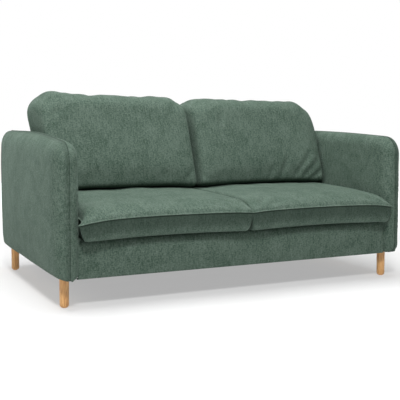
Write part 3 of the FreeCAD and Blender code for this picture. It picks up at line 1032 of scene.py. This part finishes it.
@dataclass
class Cushion:
    """A loose cushion: two panels sewn together and closed by a lip.

    Its kind starts the names of its nodes, its piece and its body.
    """

    side: Side
    lip: tuple[Ring, ...] = ()
    first_seed: int = 0
    kind: str = ""

    @property
    def seed(self) -> int:
        """Picks the cushion's ripples."""
        return self.first_seed + self.side.value

    @property
    def box(self) -> tuple[Vector, Vector]:
        """Low and high corners of the cushion's cover."""
        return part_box(f"{self.kind}_cover_{self.side.tag}")

    def sew(self, panels: tuple[Array, Array], facing: Array, apart: Pair, groove: Array,
            fill: float) -> None:
        """Part the panels' shared border for the lip and make the cover.

        Args:
            panels: both grids.
            facing: which way the first panel faces.
            apart: how far the first border moves that way, and the second one back.
            groove: painted shade along the second panel's border beside the lip.
            fill: how full the cushion is.
        """
        rim = rim_of(*panels[0].shape[:2])
        borders = [panel.reshape(-1, 3) for panel in panels]
        middle = 0.5 * (borders[0][rim] + borders[1][rim])
        borders[0][rim] = middle + facing * apart[0]
        borders[1][rim] = middle - facing * apart[1]
        kind, tag = self.kind, self.side.tag
        nodes = (f"{kind}_cover_{tag}", f"{kind}_filling_{tag}")
        pad = Pad(*panels, self.lip, groove, facing)
        Piece(f"{kind}_{tag}_cover", f"{kind}_{tag}", "upholstery", nodes, fill).make(*pad.mesh())

    @staticmethod
    def anchored(x: float, across: float, y: float, along: float,
                 lines: tuple[Crease, ...]) -> list[Crease]:
        """Creases whose places are measured from a corner.

        Args:
            x: the corner's first coordinate.
            across: 1 or -1, the way of a crease's first places.
            y: its second coordinate.
            along: the way of the second places.
            lines: the creases.

        Returns:
            Lines for folds.
        """
        return [(x + across * a, y + along * b, x + across * c, y + along * d, depth, width)
                for a, b, c, d, depth, width in lines]


@dataclass
class SeatCushion(Cushion):
    """A loose seat cushion: crowned top, one sewn lip round its middle, rounded underside.

    A pair of numbers is for the left and the right cushion, and a pair in it for the front
    corners at the sofa's middle and at the arm. Creases start at a front corner. Distances
    are taken on the outline before its ears are pulled out, so a pulled ear moves nothing
    else.
    """

    first_seed: int = 31
    kind: str = "seat_cushion"
    seam_level: float = 0.081
    top_power: float = 2.5
    top_reach: float = 0.37
    ear: float = 0.012
    ear_outs: tuple[Pair, ...] = ((0.008, 0.012), (0.008, 0.010))
    ear_reach: float = 0.022
    ear_drops: tuple[Pair, ...] = ((0.004, 0.020), (0.004, 0.013))
    arch: float = 0.004
    flares: Pair = (0.027, 0.0)
    back_corner: float = 0.030
    front_bow: float = -0.010
    middle_bow: float = -0.001
    waist: float = 0.007
    side_run: float = 0.032
    sunk: float = 0.009
    under_run: float = 0.034
    under_side: float = 0.014
    step: float = 0.013
    top_moves: Triple = (0.10, 0.45, 0.25)
    under_moves: Triple = (0.10, 0.35, 0.25)
    room_below: Triple = (0.036, 0.012, 0.0)
    room_above: Triple = (0.036, 0.004, 0.004)
    middle_creases: tuple[Crease, ...] = (
        (0.010, 0.008, 0.040, 0.150, 0.0085, 0.012),
        (0.030, 0.006, 0.120, 0.110, 0.0080, 0.013),
        (0.060, 0.004, 0.190, 0.060, 0.0055, 0.012))
    arm_creases: tuple[Crease, ...] = (
        (0.014, 0.008, 0.070, 0.100, 0.0065, 0.013),
        (0.040, 0.004, 0.130, 0.040, 0.0050, 0.012))
    # rings of the sewn lip: outwards, towards the top panel, painted shade in the sunken line
    # beside it, and how much lighter the lip is
    lip: tuple[Ring, ...] = (
        (0.0030, 0.0004, 0.0, 0.6), (0.0050, -0.0010, 0.0, 1.0),
        (0.0046, -0.0030, 0.2, 0.5), (-0.0030, -0.0048, 1.0, 0.0))

    def build(self) -> None:
        """Make the cushion."""
        low, high = self.box
        right_bow, left_bow = self.side.pick((
            (self.middle_bow, -self.waist), (-self.waist, self.middle_bow)))
        outline = Outline(
            ((low.x, low.y), (high.x, low.y), (high.x, high.y), (low.x, high.y)),
            (self.ear, self.ear, self.back_corner, self.back_corner),
            ((self.front_bow, 1.0), (right_bow, 1.0), STRAIGHT, (left_bow, 1.0)))
        across = spaced(high.x - low.x, 0.05, 7, self.step)
        plan = outline.grid(across, spaced(high.y - low.y, 0.05, 7, self.step))
        front = np.clip(plan[..., 1] - outline.curve(0, across)[None, :, 1], 0, None)
        inside = outline.away(plan)
        beside, cleft = (outline.away(plan, edge) for edge in self.side.edges)
        flat, lifted = self.pulled(plan, inside, beside)
        level = low.z + self.seam_level + lifted
        crown = self.crown(flat, front, beside, cleft)
        under = self.seam_level * rise(outline.away(plan, (1, 3)), self.under_side, 2.8)
        under = under * rise(outline.away(plan, (0, 2)), self.under_run, 2.5)
        under = under - 0.0013 * waves(flat[..., 0], self.seed + 2, (0.033, 0.05)) * bell(
            front - 0.006, 0.01)
        top = np.dstack([flat, level + np.maximum(crown, 0.0) * rise(inside + 1e-5, 0.004, 2)])
        bottom = np.dstack([flat, level - np.maximum(under, 0)])
        moves = Plumping().run(top, bottom)
        top += moves[0] * self.top_moves * smooth(cleft, 0.0, 0.09)[..., None]
        bottom += moves[1] * self.under_moves
        for panel in (top, bottom):
            np.clip(panel, np.subtract(low, self.room_below),
                    np.add(high, self.room_above), out=panel)
        # painted shade along the bottom panel's border beside the lip
        self.sew((top, bottom), np.array([0.0, 0.0, 1.0]), (0.002, 0.005),
                 0.62 * bell(inside, 0.008), 0.7)

    def pulled(self, plan: Array, inside: Array, beside: Array) -> tuple[Array, Array]:
        """Flare the side at the arm, pull the front ears out and arch the seam.

        Each pull fades as exp(-distance / reach), from the corner or side it belongs to.

        Args:
            plan: the outline's grid.
            inside: distance from its border.
            beside: distance from its side at the arm.

        Returns:
            The moved grid, and how far each point of the seam's level rises.
        """
        low, high = self.box
        sign, middle = self.side.value, (low.x + high.x) / 2
        share = 2 * (plan[..., 0] - low.x) / (high.x - low.x) - 1
        lifted = self.arch * (1 - share ** 2)
        flare = (self.side.pick(self.flares) * np.exp(-(plan[..., 1] - low.y) / 0.016)
                 * np.exp(-beside / 0.06))
        flat = plan + flare[..., None] * np.array([sign, 0.0])
        for corner, way in ((low.x, -1), (high.x, 1)):
            reach = np.hypot(plan[..., 0] - corner, plan[..., 1] - low.y)
            at_arm = sign * (corner - middle) > 0
            pull = (self.side.pick(self.ear_outs)[at_arm] * np.exp(-reach / self.ear_reach)
                    * np.exp(-inside / 0.010))
            flat = flat + pull[..., None] * np.array([0.95 * way, -0.20])
            drop = self.side.pick(self.ear_drops)[at_arm]
            lifted = lifted - drop * np.exp(-reach / (0.030 + 0.025 * at_arm))
        return flat, lifted

    def crown(self, flat: Array, front: Array, beside: Array, cleft: Array) -> Array:
        """Height of the top over its seam.

        The profile from the front is (1 - (1 - t) ** 2) ** (1 / power), with t the distance
        over the reach; it is multiplied by a round along both sides, and rippled and creased.

        Args:
            flat: the moved grid.
            front: distance from the front.
            beside: distance from the side at the arm.
            cleft: distance from the side at the sofa's middle.

        Returns:
            The heights.
        """
        low, high = self.box
        x, y = flat[..., 0], flat[..., 1]
        sign, middle, half = self.side.value, (low.x + high.x) / 2, (high.x - low.x) / 2
        share = np.clip(np.abs(x - middle) / half, 0, 1)
        reach = np.clip(front / self.top_reach, 0, 1)
        profile = np.clip(1 - (1 - reach) ** 2, 0, 1) ** (1 / self.top_power)
        sides = rise(beside, self.side_run, 2.3) * (1 - 0.05 * share ** 4)
        sides = sides * rise(cleft, 0.016, 2.8) * (1 - 0.05 * np.exp(-cleft / 0.040))
        crown = (high.z - low.z - self.seam_level - self.sunk) * profile * sides
        calm = waves(x + 0.3 * y, self.seed, (0.16, 0.26, 0.34))
        crown += 0.0034 * calm * sides * smooth(front, 0.0, 0.08)
        gathers = waves(x, self.seed + 1, (0.021, 0.029, 0.043))
        crown += 0.00072 * gathers * bell(front - 0.018, 0.016)
        creases = (self.anchored(middle - sign * half, sign, low.y, 1, self.middle_creases)
                   + self.anchored(middle + sign * half, -sign, low.y, 1, self.arm_creases))
        return crown + folds(x, y, creases)


@dataclass
class BackCushion(Cushion):
    """A loose back pillow that leans on the back and stands on the seat cushion.

    A pair of numbers is for the left and the right pillow; each pillow's top shares are for
    its left and right corner.
    """

    first_seed: int = 51
    kind: str = "back_cushion"
    lean: float = math.radians(20)
    lean_foot: Pair = (0.140, 0.2625)
    thickness: float = 0.198
    seam_depth: float = 0.070
    top_corner: float = 0.088
    low_corner: float = 0.012
    rear_run: float = 0.055
    spreads: Pair = (0.036, 0.012)
    crests: Pair = (0.011, 0.0)
    inner_runs: Pair = (0.008, 0.034)
    loft: float = 0.030
    foot: float = -0.012
    top_shares: tuple[Pair, ...] = ((0.972, 0.942), (0.936, 0.908))
    step: float = 0.013
    front_moves: Triple = (0.12, 0.55, 0.55)
    rear_moves: Triple = (0.12, 0.15, 0.5)
    # rings of the sewn lip: outwards, towards the front panel, painted shade in the sunken line
    # beside it, and how much lighter the lip is
    lip: tuple[Ring, ...] = (
        (0.0026, 0.0, 0.0, 0.5), (0.0042, -0.0014, 0.0, 0.9),
        (0.0038, -0.0030, 0.2, 0.4), (-0.0026, -0.0046, 1.0, 0.0))

    def build(self) -> None:
        """Make the pillow."""
        low, high = self.box
        cos, sin = math.cos(self.lean), math.sin(self.lean)
        length = (high.z - low.z) / cos
        spread = self.side.pick(self.spreads)
        left = low.x - self.side.pick((spread, 0))
        right = high.x + self.side.pick((0, spread))
        shares = self.side.pick(self.top_shares)
        top = length * sum(shares) / 2
        outline = Outline(
            ((low.x, self.foot), (high.x, self.foot), (right, length * shares[1]),
             (left, length * shares[0])),
            (self.low_corner, self.low_corner, self.top_corner, self.top_corner),
            (STRAIGHT, (-0.004, 1.0), (0.006, 1.0), (-0.004, 1.0)))
        flat = outline.grid(spaced(high.x - low.x, 0.07, 8, self.step),
                            spaced(top, 0.06, 8, self.step))
        x, q = flat[..., 0], flat[..., 1]
        edge = outline.away(flat)
        front = self.front(outline, flat, edge) + folds(
            x, q, self.creases(low.x, high.x, top)) * rise(edge, 0.02, 2)
        rear = (self.seam_depth - 0.004) * rise(edge, self.rear_run, 2.4)
        foot_y = self.lean_foot[0] + (low.z - self.lean_foot[1]) * math.tan(self.lean)
        y_plane = foot_y - self.seam_depth / cos + q * sin
        z_plane = low.z + q * cos
        tilt = smooth(q, 0.0, 0.22)
        wobble = 0.0035 * waves(x, self.seed + 4, (0.083, 0.12, 0.19)) * smooth(q, top * 0.8, top)
        wobble += self.side.pick(self.crests) * bell(x - left - 0.10, 0.055) * smooth(
            q, top * 0.6, top)
        first, second = (
            np.stack([x, y_plane - height * (1 - swing + swing * cos),
                      z_plane + height * (swing * sin) + wobble], -1)
            for height, swing in ((np.maximum(front, 0), tilt), (-rear, 1.0)))
        moves = Plumping(cap=0.020, gather=0.06).run(first, second)
        first += moves[0] * self.front_moves
        second += moves[1] * self.rear_moves
        for panel in (first, second):
            panel[..., 2] = np.maximum(panel[..., 2], low.z + self.foot)
        # painted shade along the rear panel's border beside the lip
        self.sew((first, second), np.array([0.0, -cos, sin]), (0.002, 0.004),
                 0.5 * bell(edge, 0.006), 0.65)

    def front(self, outline: Outline, flat: Array, edge: Array) -> Array:
        """Height of the front over the seam's plane.

        Rounds along the four sides are multiplied; those of the upright sides widen from the
        foot to the top. A swelling above the foot and a calm ripple are added.

        Args:
            outline: the sewn outline.
            flat: its grid, across and up the lean.
            edge: distance from its border.

        Returns:
            The heights.
        """
        x, q = flat[..., 0], flat[..., 1]
        high_up = smooth(q, 0.20, 0.46)
        beside, inner, over, foot = (
            outline.away(flat, sides) for sides in (*self.side.edges, (2,), (0,)))
        sides = rise(beside, 0.014 + 0.091 * high_up, 2.4)
        sides = sides * rise(inner, self.side.pick(self.inner_runs) + 0.040 * high_up, 2.5)
        foot = rise(foot, 0.038, 3.0)
        forward = self.thickness - self.seam_depth + self.loft
        front = forward * sides * rise(over, 0.115, 2.2) * foot
        front += 0.010 * bell(q - 0.06, 0.10) * sides * foot
        return front + 0.003 * waves(x + 0.5 * q, self.seed, (0.27, 0.41)) * rise(edge, 0.08, 2)

    def creases(self, left: float, right: float, top: float) -> list[Crease]:
        """Where the pillow's cloth folds: below its corners and along its top.

        Args:
            left: the left side's place across.
            right: the right side's place across.
            top: the top's height up the lean.

        Returns:
            Lines for folds.
        """
        right_low, left_low, left_top = self.side.pick((
            (((0.012, 0.075, 0.070, 0.020, 0.0050, 0.009),),
             ((0.016, 0.060, 0.085, 0.020, 0.0050, 0.010),
              (0.200, 0.075, 0.240, 0.018, 0.0035, 0.012),
              (0.420, 0.070, 0.440, 0.018, 0.0030, 0.012)),
             ((0.100, -0.002, 0.112, 0.050, 0.0050, 0.012),
              (0.240, -0.002, 0.232, 0.045, 0.0035, 0.011),
              (0.430, -0.002, 0.442, 0.045, 0.0040, 0.011),
              (0.030, 0.150, 0.090, 0.120, 0.0035, 0.012))),
            (((0.012, 0.056, 0.085, 0.012, 0.0085, 0.0075),
              (0.018, 0.100, 0.135, 0.016, 0.0085, 0.0085),
              (0.060, 0.130, 0.185, 0.014, 0.0070, 0.0100),
              (0.200, 0.110, 0.262, 0.010, 0.0060, 0.0100),
              (0.290, 0.070, 0.330, 0.008, 0.0045, 0.0100)),
             ((0.012, 0.060, 0.060, 0.018, 0.0050, 0.009),),
             ((0.150, 0.190, 0.165, 0.110, 0.0050, 0.014),
              (0.250, 0.002, 0.235, 0.060, 0.0050, 0.012),
              (0.360, 0.002, 0.372, 0.045, 0.0045, 0.011)))))
        return (self.anchored(right, -1, 0.0, 1, right_low)
                + self.anchored(left, 1, 0.0, 1, left_low)
                + self.anchored(left, 1, top, -1, left_top))


def bend(centre: Pair, radius: float, start: float, end: float,
         count: int) -> Array:
    """Points of an arc: the centre plus radius times the cosine and sine of even angles.

    Args:
        centre: the arc's centre, in depth and height.
        radius: its radius, in metres.
        start: its first angle in degrees; 0 faces the rear and 90 points up.
        end: its last angle.
        count: how many points it has.

    Returns:
        The points, in depth and height.
    """
    turn = np.radians(np.linspace(start, end, count))[:, None]
    return np.array(centre) + radius * np.hstack([np.cos(turn), np.sin(turn)])


def strip(profile: Array, left: float, right: float, bulge: Any = 0.0,
          step: float = 0.014) -> Array:
    """A profile carried across the sofa.

    It swells forwards by bulge * (1 - u ** 6), with u from -1 at the left end to 1.

    Args:
        profile: depth and height of the profile's points.
        left: the left end.
        right: the right end.
        bulge: how much each point may swell forwards in the middle.
        step: the distance between points across, in metres.

    Returns:
        A grid of points.
    """
    x = np.linspace(left, right, max(3, round((right - left) / step)))
    u = 2 * (x - left) / (right - left) - 1
    swell = np.broadcast_to(bulge, len(profile))[:, None] * (1 - u ** 6)[None]
    y = profile[:, :1] - swell
    return np.stack([np.broadcast_to(x, y.shape), y, np.broadcast_to(profile[:, 1:], y.shape)], -1)


def board_cloth(name: str, grid: Array, stem: str, fill: float) -> None:
    """Make an open cloth grid two millimetres thick, sewn to the frame over its padding.

    Args:
        name: the piece's name.
        grid: points of shape (rows, columns, 3).
        stem: the shared start of the names of the cover's and the padding's nodes.
        fill: how full the pad is.
    """
    nodes = (f"{stem}_cover", f"{stem}_padding")
    thing = Piece(name, "frame", "upholstery", nodes, fill).make_cloth(grid)
    wall = thing.modifiers.new("cloth", "SOLIDIFY")
    wall.thickness = 0.002
    wall.offset = -1.0


@dataclass
class Base:
    """The fabric of the base: its front border and its deck."""

    tuck: float = 0.013
    bow: float = 0.0025
    heel: float = 0.010
    brow: float = 0.026
    drop: float = 0.004
    dip: float = 0.0018

    def build(self) -> None:
        """Make the front border and the deck."""
        low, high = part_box("front_cover")
        deck_low, deck_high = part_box("deck_cover")
        face_z = np.linspace(low.z + self.heel, deck_high.z - self.brow, 14)[1:-1, None]
        profile = np.vstack([
            [[low.y + 0.020, low.z + 0.004], [low.y + 0.016, low.z]],
            bend((low.y + self.heel, low.z + self.heel), self.heel, 270, 180, 7),
            np.hstack([np.full_like(face_z, low.y), face_z]),
            bend((low.y + self.brow, deck_high.z - self.brow), self.brow, 180, 90, 7),
            [[low.y + 0.0315, deck_high.z], [low.y + 0.034, deck_high.z - self.drop]]])
        share = np.clip((profile[:, 1] - low.z) / (high.z - low.z), 0, 1)
        front = strip(profile, low.x - self.tuck, high.x + self.tuck,
                      self.bow * np.sin(math.pi * share))
        calm = 0.0009 * waves(front[..., 0], 71, (0.21, 0.34))
        front[..., 1] -= calm * smooth(front[..., 2], low.z, low.z + 0.04)
        board_cloth("front_border", front, "front", 0.9)
        y = np.concatenate([low.y + np.array([0.0335, 0.034, 0.040]),
                            np.linspace(low.y + 0.05, deck_high.y, 44)])
        z = np.full_like(y, deck_high.z)
        z[:2] -= (self.drop, 0.0015)
        deck = strip(np.stack([y, z], 1), low.x, high.x)
        hollow = np.sin(math.pi * np.clip((deck[..., 1] - y[0]) / np.ptp(y), 0, 1)) ** 0.5
        deck[..., 2] -= self.dip * hollow * (1 - np.abs(deck[..., 0] / high.x) ** 4)
        board_cloth("deck_platform", deck, "deck", 0.8)


@dataclass
class Back:
    """The upholstered back: the face behind the pillows, the top and the rear panel."""

    tuck: float = 0.012
    lean: float = 20.0
    brow: float = 0.024
    rear_brow: float = 0.030
    heel: float = 0.012
    swell: float = 0.003

    def build(self) -> None:
        """Make the three panels."""
        inner_low, inner_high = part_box("back_inner_cover")
        top_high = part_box("back_top_cover")[1]
        low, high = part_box("rear_cover")
        ends = low.x - self.tuck, high.x + self.tuck
        t = np.linspace(0, 1, 30)[:, None]
        foot = np.array([inner_low.y, inner_low.z])
        head = np.array([inner_high.y - 0.004, inner_high.z - 0.006])
        centre = head + self.brow * np.array([
            math.cos(math.radians(self.lean)), -math.sin(math.radians(self.lean))])
        face = np.vstack([foot * (1 - t) + head * t,
                          bend(centre, self.brow, 180 - self.lean, 90, 6)[1:]])
        board_cloth("back_face", strip(face, *ends), "back_inner", 0.8)
        last_y, last_z = face[-1]
        y = np.linspace(last_y, high.y - self.rear_brow, 16)
        z = last_z + (top_high.z - last_z) * smooth(y, last_y, last_y + 0.03)
        corner = (high.y - self.rear_brow, top_high.z - self.rear_brow)
        over = np.vstack([np.stack([y, z], 1), bend(corner, self.rear_brow, 90, 0, 8)[1:]])
        board_cloth("back_top", strip(over, *ends), "back_top", 0.8)
        z = np.linspace(top_high.z - self.rear_brow, low.z + self.heel, 36)
        corner = (high.y - self.heel, low.z + self.heel)
        rear = np.vstack([np.stack([np.full_like(z, high.y), z], 1),
                          bend(corner, self.heel, 0, -90, 5)[1:]])
        share = np.clip((rear[:, 1] - low.z) / (high.z - low.z), 0, 1)
        panel = strip(rear, *ends, -self.swell * np.sin(math.pi * share))
        board_cloth("rear_panel", panel, "rear", 0.9)


@dataclass
class DustCover:
    """Thin cloth stapled under the base."""

    inset: float = 0.004
    clear: float = 0.0006
    sag: float = 0.0022
    dimple: float = 0.0008
    staple_pitch: float = 0.060

    def build(self) -> None:
        """Make the cloth, with shallow dimples between its staples."""
        low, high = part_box("underside_dust_cover")
        x, y = np.meshgrid(np.linspace(low.x + self.inset, high.x - self.inset, 90),
                           np.linspace(low.y + self.inset, high.y - self.inset, 64))
        edge = np.minimum(np.minimum(x - low.x, high.x - x), np.minimum(y - low.y, high.y - y))
        ripple = np.exp(-edge / 0.02) * np.cos(2 * math.pi * (x + y) / self.staple_pitch)
        z = low.z + self.clear - self.sag * rise(edge, 0.12, 2) + self.dimple * ripple
        thing = Piece("dust_cover", "frame", "dust_cloth", ("underside_dust_cover",),
                      smooth_levels=0).make_cloth(np.stack([x, y, z], -1))


@dataclass
class Leg:
    """A turned dowel leg with a slight taper, a domed foot and a chamfered shoulder."""

    place: str
    side: Side
    taper: float = 0.0006
    dome: float = 0.0125
    shoulder: float = 0.001
    around: int = 48

    def build(self) -> None:
        """Turn the profile round the leg's own axis."""
        node = f"leg_{self.place}_{self.side.tag}"
        low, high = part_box(node)
        middle = (low + high) / 2
        radius = (high.y - low.y) / 2
        arc = np.linspace(0, math.pi / 2, 9)
        foot = radius - self.dome + self.dome * np.sin(arc) - self.taper
        z = np.linspace(low.z + self.dome, high.z - self.shoulder, 14)[1:]
        shaft = radius - self.taper * (1 - (z - z[0]) / np.ptp(z))
        reach = np.concatenate([[0.0, radius * 0.3, radius * 0.52], foot, shaft,
                                [radius - self.shoulder, radius * 0.5, 0.0]])[:, None]
        level = np.concatenate([[low.z] * 3, low.z + self.dome * (1 - np.cos(arc)), z,
                                [high.z] * 3])[:, None]
        angle = np.linspace(0, 2 * math.pi, self.around, endpoint=False)
        ring = np.zeros(self.around)
        points = np.stack([middle.x + reach * np.cos(angle), middle.y + reach * np.sin(angle),
                           level + ring], -1)
        grid = np.arange(points.size // 3).reshape(-1, self.around)
        turned = np.roll(grid, -1, 1)
        faces = np.stack([grid[:-1], turned[:-1], turned[1:], grid[1:]], -1).reshape(-1, 4)
        maps = np.stack([np.zeros_like(level) + angle * radius, level + ring], -1)
        Piece(f"{node}_dowel", "frame", "leg_wood", (node,)).make(points, faces, maps)


@dataclass
class Studio:
    """Pale floor, soft lights, white surroundings and the camera."""

    eye: Triple = (-1.546, -3.287, 0.700)
    pitch: float = math.radians(3.5)
    yaw: float = math.radians(25.49)
    lens: float = 70.25
    shift: float = -0.0722
    floor_half: float = 6.0
    floor_tone: float = 0.46
    floor_glow: float = 0.40
    glow_fade: Pair = (1.5, 3.4)
    surroundings: float = 0.15
    aim: Triple = (0.0, 0.0, 0.35)

    def build(self) -> None:
        """Set the stage."""
        self.floor()
        self.camera()
        self.world()
        self.lamp("overhead", (-0.5, 0.0, 4.4), 3.4, 225.0)
        self.lamp("key", (-1.5, -3.7, 3.7), 0.7, 150.0)
        self.lamp("left", (-4.6, -0.6, 3.0), 2.6, 38.0)
        self.lamp("rear", (0.5, 5.5, 3.2), 4.0, 80.0)

    def floor(self) -> None:
        """A wide pale plane under the feet that glows white away from the sofa."""
        mesh = bpy.data.meshes.new("floor")
        mesh.from_pydata([(x * self.floor_half, y * self.floor_half, 0) for x, y in (
            (-1, -1), (1, -1), (1, 1), (-1, 1))], [], [(0, 1, 2, 3)])
        thing = placed("floor", mesh)
        made = Finish("pale_floor")
        point = made.node("ShaderNodeTexCoord", output="Object")
        away = made.node("ShaderNodeVectorMath", {"operation": "LENGTH"}, {0: point}, "Value")
        near, far = self.glow_fade
        fade = made.node("ShaderNodeMapRange", {"interpolation_type": "SMOOTHSTEP"},
                         {"Value": away, "From Min": near, "From Max": far})
        made.give(Base_Color=(self.floor_tone,) * 3, Roughness=0.95, Specular_IOR_Level=0.0,
                  Emission_Color=made.blend(fade, (self.floor_glow,) * 3, (1.0, 1.0, 1.0)),
                  Emission_Strength=1.0)
        mesh.materials.append(made.material)

    def camera(self) -> None:
        """The camera at its standing place."""
        data = bpy.data.cameras.new("camera")
        data.lens = self.lens
        data.sensor_width = 36.0
        data.shift_y = self.shift
        thing = placed("camera", data)
        thing.location = self.eye
        thing.rotation_euler = Euler((math.pi / 2 - self.pitch, 0.0, -self.yaw))
        bpy.context.scene.camera = thing

    def world(self) -> None:
        """White surroundings, seen bright but lighting the sofa only a little."""
        bpy.context.scene.view_settings.view_transform = "Standard"
        world = bpy.data.worlds.new("surroundings")
        world.use_nodes = True
        tree = world.node_tree
        ground = tree.nodes["Background"]
        ground.inputs["Color"].default_value = (1.0, 1.0, 1.0, 1.0)
        path = Value(tree, tree.nodes.new("ShaderNodeLightPath").outputs["Is Camera Ray"])
        seen = path * (1.0 - self.surroundings) + self.surroundings
        tree.links.new(seen.socket, ground.inputs["Strength"])
        bpy.context.scene.world = world

    def lamp(self, name: str, place: Triple, size: float,
             power: float) -> None:
        """A square soft light that faces the sofa's middle.

        Args:
            name: the light's name.
            place: where it stands.
            size: its side, in metres.
            power: its power, in watts.
        """
        data = bpy.data.lights.new(name, "AREA")
        data.shape = "SQUARE"
        data.size = size
        data.energy = power
        thing = placed(name, data)
        thing.location = place
        thing.rotation_euler = (Vector(self.aim) - Vector(place)).to_track_quat(
            "-Z", "Y").to_euler()


def dress_frame(frame: dict[str, Any]) -> None:
    """Give every CAD node that still shows the finish of its slot.

    Args:
        frame: what the frame's loader gave.
    """
    for thing in frame["nodes"].values():
        for held in thing.material_slots:
            slot = held.material.name.split(".")[0] if held.material else "timber"
            held.link = "OBJECT"
            held.material = bpy.data.materials[FINISHES[slot].name]


def main() -> None:
    """Build the sofa round its frame."""
    logging.basicConfig(level=logging.INFO, format="%(message)s")
    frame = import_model()
    for finish in FINISHES.values():
        finish.material()
    Studio().build()
    dress_frame(frame)
    for side in Side:
        Arm(side).build()
        SeatCushion(side).build()
        BackCushion(side).build()
        for place in ("front", "rear"):
            Leg(place, side).build()
    Base().build()
    Back().build()
    DustCover().build()
    bpy.context.view_layer.update()


if __name__ == "__main__":
    main()
